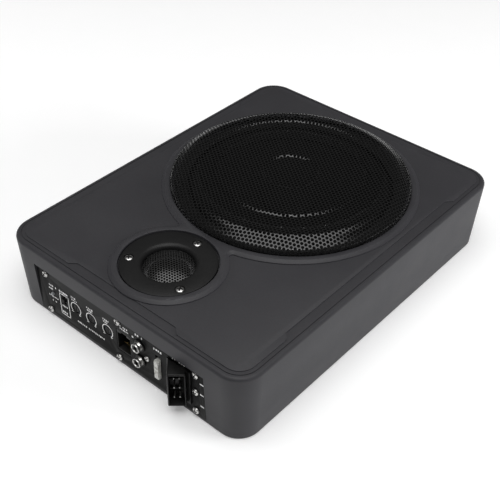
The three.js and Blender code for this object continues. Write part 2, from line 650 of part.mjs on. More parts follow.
function tweeterDome() {
  const arc = (drop) => Array.from({ length: 5 }, (_, i) => {
    const share = i / 4;
    return [(domeRadius - drop) * share, domeZ + (5 - drop) * (1 - share * share)];
  });
  return turned([
    ...arc(0), [17, domeZ], [17, domeZ - 0.8], [domeRadius, domeZ - 0.8], [domeRadius, domeZ - 8],
    [domeRadius - 0.9, domeZ - 8], ...arc(0.9).reverse().slice(0, -1), [0, domeZ + 4.1],
  ], 18);
}

function tweeterMagnet() {
  const rim = tubeBottom - GAP;
  return turned([
    [0, rim - 10.5], [18, rim - 10.5], [18, rim - 2.5], [tubeRadius, rim - 2.5], [tubeRadius, rim],
    [domeRadius + 1.1, rim], [domeRadius + 1.1, rim - 7.5], [domeRadius - 1.7, rim - 7.5],
    [domeRadius - 1.7, rim], [0, rim],
  ], 24);
}

addPart('tweeter_trim_ring', trimRing(), finish(0x18181a, 0.5, 0), tweeter);
addPart('tweeter_mesh', tweeterMesh(), blackSteel(), tweeter);
addPart('tweeter_dome', tweeterDome(), finish(0x202022, 0.7, 0), tweeter);
addPart('tweeter_magnet', tweeterMagnet(), plainSteel(), tweeter);
const tweeterScrew = panScrew(TWEETER_SCREW_HEAD, TWEETER_SCREW_RADIUS, 8, 1.7);
tweeterScrews.forEach(([x, y], i) => (
  addScrew(`tweeter_screw_${i + 1}`, tweeterScrew, x, y, ringTop - TWEETER_HEAD_RECESS + GAP, 0, tweeter)
));

// ---- Control panel ----
const remote = {
  x0: REMOTE_X - REMOTE_WIDTH / 2,
  x1: REMOTE_X + REMOTE_WIDTH / 2,
  z0: REMOTE_HEIGHT - REMOTE_TALL / 2,
  z1: REMOTE_HEIGHT + REMOTE_TALL / 2,
};
const fuseSlot = {
  x0: FUSE_X - FUSE_WIDTH / 2 - GAP,
  x1: FUSE_X + FUSE_WIDTH / 2 + GAP,
  z0: FUSE_LOW - GAP,
  z1: FUSE_LOW + FUSE_TALL + 4,
};

function controlPanel() {
  const [near, far] = [PLATE_FRONT - CUT_PAST, PLATE_BACK + CUT_PAST];
  const half = PANEL_WIDTH / 2;
  const plate = block(
    PANEL_CENTRE_X - half, PANEL_CENTRE_X + half, PLATE_FRONT, PLATE_BACK, PANEL_LOW, PANEL_HIGH,
  );
  const through = (x0, x1, z0, z1) => block(x0 - GAP, x1 + GAP, near, far, z0 - GAP, z1 + GAP);
  const leverReach = LEVER_SIZE / 2 + LEVER_TRAVEL;
  return cut(
    plate,
    ...[...PANEL_SCREWS, PHONO_SCREW].map(([x, z]) => rodY(PANEL_SCREW_RADIUS + GAP, x, z, near, far, 12)),
    ...KNOB_PLACES.map((x) => rodY(KNOB_RADIUS + 0.7, x, KNOB_HEIGHT, near, far, 24)),
    rodY(LED_RADIUS + GAP, LED_X, LED_HEIGHT, near, far, 16),
    through(
      SWITCH_X - LEVER_SIZE / 2, SWITCH_X + LEVER_SIZE / 2,
      SWITCH_HEIGHT - leverReach, SWITCH_HEIGHT + leverReach,
    ),
    through(remote.x0, remote.x1, remote.z0, remote.z1),
    ...phonoHeights.map((z) => rodY(collarRadius + GAP, PHONO_X, z, near, far, 20)),
    block(fuseSlot.x0, fuseSlot.x1, near, far, fuseSlot.z0, fuseSlot.z1),
    through(powerNeck.x0, powerNeck.x1, powerNeck.z0, powerNeck.z1),
  );
}

addPart('control_panel', controlPanel(), finish(0x161618, 0.5, 0.4));
const panelScrew = panScrew(PANEL_SCREW_HEAD, PANEL_SCREW_RADIUS, PANEL_SCREW_LENGTH, 1.9);
PANEL_SCREWS.forEach(([x, z], i) => (
  addScrew(`panel_screw_${i + 1}`, panelScrew, x, PLATE_FRONT - GAP, z, Math.PI / 2)
));
const phonoScrew = panScrew(PHONO_SCREW_HEAD, PANEL_SCREW_RADIUS, PANEL_SCREW_LENGTH, 1.7);
addScrew('phono_screw', phonoScrew, PHONO_SCREW[0], PLATE_FRONT - GAP, PHONO_SCREW[1], Math.PI / 2);

// ---- Controls ----
const knobFront = PLATE_FRONT + 0.2;
const knobBack = knobFront + KNOB_LENGTH;

function knob(x) {
  const shaft = rodY(KNOB_RADIUS, x, KNOB_HEIGHT, knobFront, knobBack, 24);
  const groove = block(
    x - 0.5, x + 0.5, knobFront - CUT_PAST, knobFront + 1.2, KNOB_HEIGHT - 2.6, KNOB_HEIGHT + 2.6,
  );
  return cut(shaft, groove);
}

function potentiometer(x) {
  const body = block(
    x - POT_WIDTH / 2, x + POT_WIDTH / 2, BEHIND_PLATE, BEHIND_PLATE + POT_DEPTH,
    PARTS_FLOOR, KNOB_HEIGHT + POT_WIDTH / 2,
  );
  return cut(body, rodY(KNOB_RADIUS + 0.4, x, KNOB_HEIGHT, BEHIND_PLATE - CUT_PAST, knobBack + GAP, 24));
}

const controls = ['level', 'low_pass', 'boost'];
KNOB_PLACES.forEach((x, i) => {
  addPart(`${controls[i]}_knob`, knob(x), blackPlastic());
  addPart(`${controls[i]}_potentiometer`, potentiometer(x), finish(0x2c4a6b, 0.5, 0));
});

const leverHalf = LEVER_SIZE / 2;
const leverBack = BEHIND_PLATE + 3.2;
const leverRoom = leverHalf + LEVER_TRAVEL + 0.6;
addPart('slide_switch_lever', block(
  SWITCH_X - leverHalf, SWITCH_X + leverHalf, PLATE_FRONT - 1.8, leverBack,
  SWITCH_HEIGHT - leverHalf, SWITCH_HEIGHT + leverHalf,
), blackPlastic());
const switchHousing = block(
  SWITCH_X - SWITCH_HALF_WIDTH, SWITCH_X + SWITCH_HALF_WIDTH, BEHIND_PLATE, BEHIND_PLATE + SWITCH_DEPTH,
  PARTS_FLOOR, SWITCH_HEIGHT + leverRoom + 1,
);
const switchSlot = block(
  SWITCH_X - leverHalf - GAP, SWITCH_X + leverHalf + GAP, BEHIND_PLATE - CUT_PAST, leverBack + GAP,
  SWITCH_HEIGHT - leverRoom, SWITCH_HEIGHT + leverRoom,
);
addPart('slide_switch_body', cut(switchHousing, switchSlot), plainSteel());

function powerLed() {
  const bulb = new THREE.SphereGeometry(LED_RADIUS, 10, 6);
  bulb.translate(LED_X, PLATE_FRONT - 0.6, LED_HEIGHT);
  const stem = rodY(LED_RADIUS, LED_X, LED_HEIGHT, PLATE_FRONT - 0.6, BEHIND_PLATE + 4, 10);
  const collar = rodY(LED_RADIUS + 0.4, LED_X, LED_HEIGHT, BEHIND_PLATE, BEHIND_PLATE + 1, 10);
  return union(solidOf(bulb), stem, collar);
}

addPart('power_led', powerLed(), finish(0xd8dce0, 0.2, 0));

// ---- Sockets ----
const socketBack = BEHIND_PLATE + 17;

function remoteSocket() {
  const face = PLATE_FRONT + 0.2;
  const body = union(
    block(remote.x0, remote.x1, face, socketBack, remote.z0, remote.z1),
    block(remote.x0, remote.x1, BEHIND_PLATE, socketBack, PARTS_FLOOR, remote.z1),
  );
  const near = face - CUT_PAST;
  const room = block(remote.x0 + 1.2, remote.x1 - 1.2, near, face + 13, remote.z0 + 1.6, remote.z1 - 4.2);
  const latch = block(REMOTE_X - 3.2, REMOTE_X + 3.2, near, face + 13, remote.z0 + 3, remote.z1 - 1.4);
  return cut(body, room, latch);
}

function phonoHousing() {
  const depth = SLEEVE_REACH + SLEEVE_ROOT;
  const tip = PLATE_FRONT - SLEEVE_REACH;
  const body = block(
    PHONO_X - collarRadius - PHONO_SIDE, PHONO_SCREW[0] + PHONO_SCREW_HEAD + PHONO_COLLAR,
    BEHIND_PLATE, socketBack, PARTS_FLOOR, phonoTop,
  );
  const collars = phonoHeights.map((z) => (
    rodY(collarRadius, PHONO_X, z, PLATE_FRONT - PHONO_COLLAR, BEHIND_PLATE + 1, 20)
  ));
  const grooves = phonoHeights.map((z) => (
    rodY(SLEEVE_RADIUS + GAP, PHONO_X, z, tip - CUT_PAST, tip + depth + GAP, 20)
  ));
  const cores = phonoHeights.map((z) => (
    rodY(SLEEVE_RADIUS - SLEEVE_WALL - GAP, PHONO_X, z, tip + 0.6, tip + depth + 2, 16)
  ));
  const sockets = phonoHeights.map((z) => rodY(1.6, PHONO_X, z, tip - CUT_PAST, tip + 8, 12));
  const pilotRadius = PANEL_SCREW_RADIUS + PILOT_CLEARANCE;
  const pilot = rodY(pilotRadius, ...PHONO_SCREW, BEHIND_PLATE - CUT_PAST, BEHIND_PLATE + 8, 12);
  return cut(union(cut(union(body, ...collars), ...grooves), ...cores), ...sockets, pilot);
}

function phonoSleeve(z) {
  const tip = PLATE_FRONT - SLEEVE_REACH;
  const back = PLATE_FRONT + SLEEVE_ROOT;
  const outer = rodY(SLEEVE_RADIUS, PHONO_X, z, tip, back, 24);
  return cut(outer, rodY(SLEEVE_RADIUS - SLEEVE_WALL, PHONO_X, z, tip - CUT_PAST, back + CUT_PAST, 24));
}

addPart('remote_socket', remoteSocket(), blackPlastic());
addPart('phono_housing', phonoHousing(), blackPlastic());
phonoHeights.forEach((z, i) => addPart(`phono_sleeve_${i + 1}`, phonoSleeve(z), brightMetal()));

const fuseFront = PLATE_FRONT - FUSE_REACH;
const fuseBack = fuseFront + FUSE_BODY_DEPTH;
const bladeHeights = [FUSE_LOW + 4, FUSE_LOW + FUSE_TALL - 4];

function blades(grow) {
  return bladeHeights.map((z) => block(
    FUSE_X - BLADE_THICKNESS / 2 - grow, FUSE_X + BLADE_THICKNESS / 2 + grow, fuseBack - 1,
    fuseBack + BLADE_LENGTH + grow, z - BLADE_WIDTH / 2 - grow, z + BLADE_WIDTH / 2 + grow,
  ));
}

function fuseHolder() {
  const back = fuseBack + BLADE_LENGTH + 3;
  const body = block(
    fuseSlot.x0 - FUSE_HOLDER_WALL, fuseSlot.x1 + FUSE_HOLDER_WALL, BEHIND_PLATE, back,
    PARTS_FLOOR, fuseSlot.z1 - 2 * GAP,
  );
  const slot = block(
    fuseSlot.x0, fuseSlot.x1, BEHIND_PLATE - CUT_PAST, fuseBack + GAP, fuseSlot.z0, fuseSlot.z1 - 2,
  );
  return cut(body, slot, ...blades(GAP));
}

function fuse() {
  const half = FUSE_WIDTH / 2;
  const body = block(FUSE_X - half, FUSE_X + half, fuseFront, fuseBack, FUSE_LOW, FUSE_LOW + FUSE_TALL);
  return union(body, ...blades(0));
}

addPart('fuse_holder', fuseHolder(), blackPlastic());
addPart('fuse', fuse(), finish(0xb4b4b0, 0.3, 0));

// The power socket's mouth is turned sideways, so its leads leave along the seat rail.
function turnedBlock(width, length, z0, z1, back) {
  const box = new THREE.BoxGeometry(width, length, z1 - z0);
  box.translate(0, length / 2 + back, (z0 + z1) / 2);
  box.rotateZ(POWER_YAW);
  box.translate(POWER_FACE[0], PLATE_FRONT - POWER_FACE[1], 0);
  return solidOf(box);
}

function powerSocket() {
  const flangeBack = PLATE_FRONT - GAP;
  const flange = block(powerFlange.x0, powerFlange.x1, flangeBack - 1.3, flangeBack, POWER_LOW, POWER_HIGH);
  const neck = block(powerNeck.x0, powerNeck.x1, flangeBack - 1, socketBack, powerNeck.z0, powerNeck.z1);
  const shroud = turnedBlock(POWER_WIDTH, 26, POWER_LOW, POWER_HIGH, 0);
  const front = block(20, 120, flangeBack - 60, flangeBack, 0, BODY_HEIGHT);
  const mouth = turnedBlock(
    POWER_WIDTH - 2 * POWER_WALL, POWER_MOUTH_DEPTH + CUT_PAST,
    POWER_LOW + POWER_WALL, POWER_HIGH - POWER_WALL, -CUT_PAST,
  );
  return cut(union(flange, neck, shroud.intersect(front)), mouth);
}

function powerPins() {
  const room = POWER_WALL + GAP;
  const carrierFront = POWER_MOUTH_DEPTH - GAP - 1.2;
  const carrier = turnedBlock(POWER_WIDTH - 2 * room, 1.2, POWER_LOW + room, POWER_HIGH - room, carrierFront);
  const middle = (POWER_LOW + POWER_HIGH) / 2;
  const pins = [-1, 0, 1].flatMap((row) => [-0.5, 0.5].map((column) => {
    const pin = new THREE.CylinderGeometry(PIN_RADIUS, PIN_RADIUS, 7.5, 8);
    pin.translate(column * PIN_PITCH, carrierFront - 3.4, middle + row * PIN_ROW_PITCH);
    pin.rotateZ(POWER_YAW);
    pin.translate(POWER_FACE[0], PLATE_FRONT - POWER_FACE[1], 0);
    return solidOf(pin);
  }));
  return union(carrier, ...pins);
}

addPart('power_socket', powerSocket(), blackPlastic());
addPart('power_pins', powerPins(), brightMetal());

// ---- Amplifier ----
const boardFront = LEDGE_Y + FRAME_DEPTH + 1;
const boardBack = boardFront + BOARD_DEPTH;
const board = block(-BOARD_LENGTH / 2, BOARD_LENGTH / 2, boardFront, boardBack, BOARD_HEIGHT, BOARD_TOP);
addPart('circuit_board', board, finish(0x1f5a35, 0.5, 0));

function heatSink() {
  const [y0, y1] = [boardBack + 3, boardBack + 23];
  const [left, right] = [-84, -12];
  const fins = Array.from({ length: 7 }, (_, i) => {
    const x = left + 6 + i * 10;
    return block(x, x + 5, y0 + 5, y1 + CUT_PAST, COVER_THICKNESS + GAP + 5, 26 + CUT_PAST);
  });
  return cut(block(left, right, y0, y1, COVER_THICKNESS + GAP, 26), ...fins);
}

function toroid() {
  const middle = PARTS_FLOOR + 6;
  return turned(Array.from({ length: 6 }, (_, i) => {
    const angle = 2 * Math.PI * i / 6;
    return [12 + 5 * Math.cos(angle), middle + 6 * Math.sin(angle)];
  }), 18);
}

addPart('heat_sink', heatSink(), finish(0x9a9da0, 0.4, 0.9));
const coilSpot = new THREE.Group();
coilSpot.position.set(58, boardFront + 46, 0);
group.add(coilSpot);
addPart('inductor', toroid(), finish(0xb5652a, 0.4, 0.6), coilSpot);
[[-62, 50], [-38, 50]].forEach(([x, back], i) => (
  addPart(`capacitor_${i + 1}`, rod(9, x, boardFront + back, PARTS_FLOOR, 36), finish(0x1d2430, 0.4, 0))
));

export default group;
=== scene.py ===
"""Powered under-seat speaker: the pieces that show, their finishes and a plain studio.

Everything is in metres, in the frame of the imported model: +Z up, the flat bottom on
z = 0, the control panel on the -Y face.
"""
import math
import random
from functools import partial

import bmesh
import bpy
from bpy.props import FloatProperty, FloatVectorProperty, IntProperty, PointerProperty
from mathutils import Matrix, Vector


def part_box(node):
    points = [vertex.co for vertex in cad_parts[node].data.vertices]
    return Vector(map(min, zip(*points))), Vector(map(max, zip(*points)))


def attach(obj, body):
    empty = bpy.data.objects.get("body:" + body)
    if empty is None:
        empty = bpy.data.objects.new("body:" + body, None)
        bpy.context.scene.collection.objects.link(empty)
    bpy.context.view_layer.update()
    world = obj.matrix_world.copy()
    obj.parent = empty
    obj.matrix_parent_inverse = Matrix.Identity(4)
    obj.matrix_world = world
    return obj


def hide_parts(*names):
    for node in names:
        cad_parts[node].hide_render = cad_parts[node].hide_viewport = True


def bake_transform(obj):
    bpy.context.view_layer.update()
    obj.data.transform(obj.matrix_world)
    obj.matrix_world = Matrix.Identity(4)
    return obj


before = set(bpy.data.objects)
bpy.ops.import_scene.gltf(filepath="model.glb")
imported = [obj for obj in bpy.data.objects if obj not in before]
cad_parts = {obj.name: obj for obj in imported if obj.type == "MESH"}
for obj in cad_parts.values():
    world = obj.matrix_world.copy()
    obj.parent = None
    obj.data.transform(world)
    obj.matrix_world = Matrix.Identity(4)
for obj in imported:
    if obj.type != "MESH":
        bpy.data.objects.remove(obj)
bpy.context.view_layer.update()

bl_info = {
    "name": "Under-seat speaker",
    "version": (1, 0, 0),
    "blender": (4, 5, 0),
    "location": "3D View > Sidebar > Speaker",
    "description": "Builds a flat powered speaker with its grille, tweeter and control panel",
    "category": "Object",
}

MM = 0.001
SHELL_LOW, SHELL_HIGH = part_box("top_shell")
GRILLE_LOW, GRILLE_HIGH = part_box("woofer_grille")
RING_LOW, RING_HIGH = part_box("tweeter_trim_ring")
PLATE_LOW, PLATE_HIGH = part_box("control_panel")
SHELL_HALF = Vector((SHELL_HIGH.x, SHELL_HIGH.y))
GRILLE_RADIUS = (GRILLE_HIGH.x - GRILLE_LOW.x) / 2
RING_RADIUS = (RING_HIGH.y - RING_LOW.y) / 2
WOOFER = Vector((0, (GRILLE_LOW.y + GRILLE_HIGH.y) / 2, GRILLE_LOW.z))
TWEETER = Vector((0, (RING_LOW.y + RING_HIGH.y) / 2, RING_LOW.z))
PLATE_FRONT = PLATE_LOW.y
REMOTE_FOOT = 0.0165  # underside of the remote socket's body
POWER_NECK = 0.0027  # how far the power socket's neck lies inside its flange
GAP = 0.3 * MM  # clearance between neighbouring pieces
CUT_FRONT, CUT_BACK = -0.18, -0.16  # where cuts through the panel's plate start and end


# ---- Sizes and colours that a user would change ----
def length(name, millimetres, description):
    """A distance property, given in millimetres."""
    return FloatProperty(
        name=name, description=description, default=millimetres * MM, min=0.0,
        unit="LENGTH", subtype="DISTANCE", precision=5,
    )


def turn(name, degrees, description):
    """An angle property, given in degrees."""
    return FloatProperty(
        name=name, description=description, default=math.radians(degrees), unit="ROTATION", subtype="ANGLE",
    )


def colour(name, value, description):
    """A colour property."""
    return FloatVectorProperty(
        name=name, description=description, default=value, size=3, min=0.0, max=1.0, subtype="COLOR",
    )


class CabinetSizes(bpy.types.PropertyGroup):
    """The moulded cabinet."""

    corner_radius: length("Corner radius", 22.7, "Radius of the cabinet's four upright corners")
    edge_radius: length("Edge radius", 3.0, "Rounding between the walls and the top")
    draft: length("Draft", 3.4, "How far each wall leans in at the bottom")
    foot_rounding: length("Foot rounding", 1.5, "Rounding of the lowest edge")
    wall: length("Wall", 4.0, "Thickness of the walls")
    deck: length("Deck thickness", 4.5, "Thickness of the top")
    rim_inset: length("Rim width", 8.0, "Width of the low rim round the top")
    groove_inset: length("Groove place", 4.3, "How far the fine groove in the rim lies from the walls")
    groove_width: length("Groove width", 0.7, "Width of the fine groove in the rim")
    groove_depth: length("Groove depth", 0.6, "Depth of the fine groove in the rim")
    rim_step: length("Rim step", 0.75, "How far the rim lies below the top")
    strip_inset: length("Strip width", 13.0, "Width of the low strip in the middle of each side")
    strip_chamfer: length("Strip chamfer", 6.0, "Length of the slanted ends of the low strips")
    side_strip: length("Side strip", 218.0, "Length of the strips along the cabinet")
    end_strip: length("End strip", 109.0, "Length of the strips across the cabinet")
    plateau_rise: length("Plateau rise", 2.5, "Height of the raised figure of eight")
    plateau_margin: length("Plateau margin", 8.3, "Width of the plateau round the grille and the ring")
    plateau_shoulder: length("Plateau shoulder", 3.7, "Width of the plateau's sloping edge")
    waist_fillet: length("Waist fillet", 2.5, "Rounding where the plateau's two circles meet")


class SpeakerSizes(bpy.types.PropertyGroup):
    """The grille, the tweeter and their screws."""

    hole_pitch: length("Hole pitch", 3.58, "Distance between neighbouring holes in the grille")
    hole_radius: length("Hole radius", 1.45, "Radius of the holes in the grille")
    row_angle: turn("Row angle", 22.8, "Direction of the rows of holes")
    sheet: length("Sheet thickness", 0.5, "Thickness of the grille's sheet")
    split_radius: length("Split", 84.0, "Where the inner and outer meshes of the grille meet")
    ring_bevel: length("Ring rounding", 0.5, "Rounding of the tweeter ring's outer edge")
    seam: length("Ring seam", 0.8, "Gap round the tweeter ring, beyond its clearance")
    mesh_pitch: length("Mesh pitch", 2.45, "Distance between the openings in the tweeter's mesh")
    mesh_hole: length("Mesh opening", 1.0, "Radius of the openings in the tweeter's mesh")
    mesh_sheet: length("Mesh thickness", 0.4, "Thickness of the tweeter's mesh")


class PanelSizes(bpy.types.PropertyGroup):
    """The control panel, its print and its controls."""

    print_height: length("Print thickness", 0.06, "How far the print stands on the plate")
    line_width: length("Line width", 0.7, "Width of the printed lines")
    dial_radius: length("Dial radius", 5.9, "Radius of the printed arc round each knob")
    dial_sweep: turn("Dial sweep", 270.0, "Angle of the printed arc round each knob")
    plate_bevel: length("Plate rounding", 0.2, "Rounding of the plate's edges")
    part_bevel: length("Part rounding", 0.3, "Rounding of the sockets' edges")
    spin_seed: IntProperty(name="Screw seed", description="Seed of the screws' turns", default=4, min=0)


class FinishColours(bpy.types.PropertyGroup):
    """Base colours of the finishes."""

    cabinet: colour("Cabinet", (0.0277, 0.0272, 0.0307), "Moulded cabinet")
    grille: colour("Grille", (0.006, 0.006, 0.006), "Coated grille and mesh")
    ring: colour("Ring", (0.006, 0.006, 0.0062), "Tweeter ring")
    plate: colour("Plate", (0.003, 0.003, 0.0031), "Control panel plate")
    ink: colour("Print", (0.8, 0.8, 0.8), "Printed marks")
    socket: colour("Sockets", (0.004, 0.004, 0.004), "Sockets, knobs and switch")
    plated: colour("Plating", (0.62, 0.615, 0.6), "Screws, sleeves and pins")
    fuse: colour("Fuse", (0.62, 0.62, 0.58), "Fuse housing")
    floor: colour("Floor", (0.93, 0.93, 0.93), "Studio floor")


class StudioSettings(bpy.types.PropertyGroup):
    """Camera and lights."""

    azimuth: turn("Azimuth", 40.46, "Camera's direction round the speaker")
    elevation: turn("Elevation", 39.42, "Camera's height above the horizon")
    roll: turn("Roll", 1.03, "Camera's tilt")
    distance: length("Distance", 814.83, "Camera's distance from its target")
    lens: FloatProperty(name="Lens", description="Focal length", default=67.24, min=1.0, unit="CAMERA")
    key: FloatProperty(name="Key light", description="Power of the front light", default=1.6, unit="POWER")
    top: FloatProperty(name="Top light", description="Power of the overhead light", default=27.0, unit="POWER")
    side: FloatProperty(name="Side light", description="Power of the right light", default=30.0, unit="POWER")
    left: FloatProperty(name="Left light", description="Power of the left light", default=16.0, unit="POWER")
    sky: FloatProperty(name="Sky", description="Strength of the surroundings", default=0.1, min=0.0)


# ---- Node trees ----
def add_node(tree, kind, inputs=None, **settings):
    """Adds a node; each input is a value, a socket, a node's first output, or a list of these to join."""
    node = tree.nodes.new(kind)
    for key, value in settings.items():
        setattr(node, key, value)
    for key, value in (inputs or {}).items():
        for item in value if isinstance(value, list) else [value]:
            if isinstance(item, bpy.types.Node):
                item = item.outputs[0]
            if isinstance(item, bpy.types.NodeSocket):
                tree.links.new(item, node.inputs[key])
            else:
                node.inputs[key].default_value = item
    return node


def calculate(tree, operation, *values):
    """The result of a Math node."""
    return add_node(tree, "ShaderNodeMath", dict(enumerate(values)), operation=operation).outputs[0]


def new_group(kind, name, inputs, outputs):
    """A new node group, as its short forms of add_node and calculate, its inputs, and what sets an output."""
    tree = bpy.data.node_groups.new(name, kind)
    for label, socket, value in inputs:
        made = tree.interface.new_socket(label, in_out="INPUT", socket_type="NodeSocket" + socket)
        if value is not None:
            made.default_value = value
    for label, socket in outputs:
        tree.interface.new_socket(label, in_out="OUTPUT", socket_type="NodeSocket" + socket)
    source = tree.nodes.new("NodeGroupInput")
    sink = tree.nodes.new("NodeGroupOutput")

    def give(label, value):
        tree.links.new(value.outputs[0] if isinstance(value, bpy.types.Node) else value, sink.inputs[label])

    return partial(add_node, tree), partial(calculate, tree), source.outputs, give


def set_input(modifier, name, value):
    """Sets a Geometry Nodes input by the identifier of the socket with that name."""
    for item in modifier.node_group.interface.items_tree:
        if item.item_type == "SOCKET" and item.in_out == "INPUT" and item.name == name:
            modifier[item.identifier] = value
            return
    raise KeyError(f"{modifier.node_group.name} has no input {name}")


# ---- Shared surface effects ----
def grain_group():
    """Moulded or sprayed grain: a fine height and a slow mottle, in object coordinates."""
    add, calc, given, give = new_group(
        "ShaderNodeTree", "Surface grain",
        [("Vector", "Vector", None), ("Grain Size", "Float", 0.0008), ("Mottle Size", "Float", 0.03)],
        [("Height", "Float"), ("Mottle", "Float")],
    )
    fine = add("ShaderNodeTexNoise", {
        "Vector": given["Vector"], "Scale": calc("DIVIDE", 1.0, given["Grain Size"]),
        "Detail": 2.0, "Roughness": 0.55,
    })
    cells = add("ShaderNodeTexVoronoi", {
        "Vector": given["Vector"], "Scale": calc("DIVIDE", 0.7, given["Grain Size"]),
    })
    slow = add("ShaderNodeTexNoise", {
        "Vector": given["Vector"], "Scale": calc("DIVIDE", 1.0, given["Mottle Size"]),
        "Detail": 5.0, "Roughness": 0.6,
    })
    mixed = calc("MULTIPLY_ADD", cells.outputs["Distance"], 0.6, fine)
    give("Height", mixed)
    give("Mottle", slow)


def wear_group():
    """Rubbed edges: a broken-up mask along the convex edges."""
    add, calc, given, give = new_group(
        "ShaderNodeTree", "Edge wear",
        [("Vector", "Vector", None), ("Amount", "Float", 0.5), ("Patch Size", "Float", 0.004)],
        [("Mask", "Float")],
    )
    shape = add("ShaderNodeNewGeometry")
    edge = add("ShaderNodeMapRange", {"Value": shape.outputs["Pointiness"], "From Min": 0.52, "From Max": 0.6})
    patches = add("ShaderNodeTexNoise", {
        "Vector": given["Vector"], "Scale": calc("DIVIDE", 1.0, given["Patch Size"]), "Detail": 4.0,
    })
    broken = add("ShaderNodeMapRange", {"Value": patches, "From Min": 0.42, "From Max": 0.62})
    both = calc("MULTIPLY", edge, broken)
    give("Mask", calc("MULTIPLY", both, given["Amount"]))


def dust_group():
    """Settled dust: a soft speckled mask on faces that look up."""
    add, calc, given, give = new_group(
        "ShaderNodeTree", "Settled dust",
        [("Vector", "Vector", None), ("Amount", "Float", 0.1), ("Speck Size", "Float", 0.0015)],
        [("Mask", "Float")],
    )
    shape = add("ShaderNodeNewGeometry")
    facing = add("ShaderNodeSeparateXYZ", {"Vector": shape.outputs["Normal"]})
    upward = add("ShaderNodeMapRange", {"Value": facing.outputs["Z"], "From Min": 0.3, "From Max": 1.0})
    specks = add("ShaderNodeTexNoise", {
        "Vector": given["Vector"], "Scale": calc("DIVIDE", 1.0, given["Speck Size"]), "Detail": 6.0,
    })
    drift = add("ShaderNodeTexNoise", {"Vector": given["Vector"], "Scale": 14.0, "Detail": 3.0})
    laid = calc("MULTIPLY", specks, drift)
    shown = calc("MULTIPLY", laid, upward)
    give("Mask", calc("MULTIPLY", shown, given["Amount"]))


def weave_group():
    """Over-and-under cloth threads as a height, in object coordinates."""
    add, calc, given, give = new_group(
        "ShaderNodeTree", "Cloth weave",
        [("Vector", "Vector", None), ("Thread Size", "Float", 0.0006)], [("Height", "Float")],
    )
    across = []
    for direction in ("X", "Y"):
        wave = add("ShaderNodeTexWave", {
            "Vector": given["Vector"], "Scale": calc("DIVIDE", 0.16, given["Thread Size"]),
        }, bands_direction=direction)
        across.append(wave.outputs["Fac"])
    give("Height", calc("MAXIMUM", *across))


def shared(name, build):
    """The node group of that name, built the first time it is asked for."""
    if name not in bpy.data.node_groups:
        build()
    return bpy.data.node_groups[name]


DUST_TONE = (0.42, 0.41, 0.39, 1)


def surface(name, base, rough, **look):
    """A finish: grain and mottle, worn edges and dust over one Principled shader."""
    known = bpy.data.materials.get(name)
    if known:
        return known
    material = bpy.data.materials.new(name)
    material.use_nodes = True
    tree = material.node_tree
    add = partial(add_node, tree)
    shader = tree.nodes["Principled BSDF"]
    place = add("ShaderNodeTexCoord").outputs["Object"]
    place = add("ShaderNodeMapping", {0: place, "Scale": look.get("stretch", (1, 1, 1))})

    def group(label, build, inputs):
        made = add("ShaderNodeGroup", node_tree=shared(label, build))
        for key, value in inputs.items():
            made.inputs[key].default_value = value
        tree.links.new(place.outputs[0], made.inputs["Vector"])
        return made

    grain = group("Surface grain", grain_group, {
        "Grain Size": look.get("grain", 0.8) * MM, "Mottle Size": look.get("mottle_size", 30) * MM,
    })
    wear = group("Edge wear", wear_group, {"Amount": look.get("wear", 0.3)})
    dust = group("Settled dust", dust_group, {"Amount": look.get("dust", 0.1)})
    mottle = look.get("mottle", 0.12)
    worn_tone = look.get("worn", [min(1, c * 2.2 + 0.01) for c in base])
    mixed = add("ShaderNodeMix", {
        0: grain.outputs["Mottle"], 6: (*(c * (1 - mottle) for c in base), 1),
        7: (*(min(1, c * (1 + mottle)) for c in base), 1),
    }, data_type="RGBA")
    for mask, tint in ((wear, (*worn_tone, 1)), (dust, DUST_TONE)):
        mixed = add("ShaderNodeMix", {0: mask, 6: mixed.outputs[2], 7: tint}, data_type="RGBA")
    spread = look.get("rough_spread", 0.08)
    roughness = add("ShaderNodeMapRange", {
        "Value": grain.outputs["Mottle"], "To Min": rough - spread, "To Max": rough + spread,
    })
    height = grain.outputs["Height"]
    if "weave" in look:
        height = group("Cloth weave", weave_group, {"Thread Size": look["weave"] * MM}).outputs["Height"]
    bump = add("ShaderNodeBump", {
        "Height": height, "Strength": look.get("bump", 0.25), "Distance": look.get("depth", 0.05) * MM,
    })
    for label, socket in (
        ("Base Color", mixed.outputs[2]), ("Normal", bump.outputs[0]),
        ("Roughness", calculate(tree, "MULTIPLY_ADD", dust, 0.5, roughness)),
    ):
        tree.links.new(socket, shader.inputs[label])
    for label, value in (
        ("Metallic", look.get("metal", 0.0)), ("Specular IOR Level", look.get("specular", 0.5)),
        ("Coat Weight", look.get("coat", 0.0)), ("Coat Roughness", 0.2),
        ("Transmission Weight", look.get("clear", 0.0)), ("Emission Color", (*base, 1)),
        ("Emission Strength", look.get("glow", 0.0)),
    ):
        shader.inputs[label].default_value = value
    material.diffuse_color = (*base, 1)
    return material


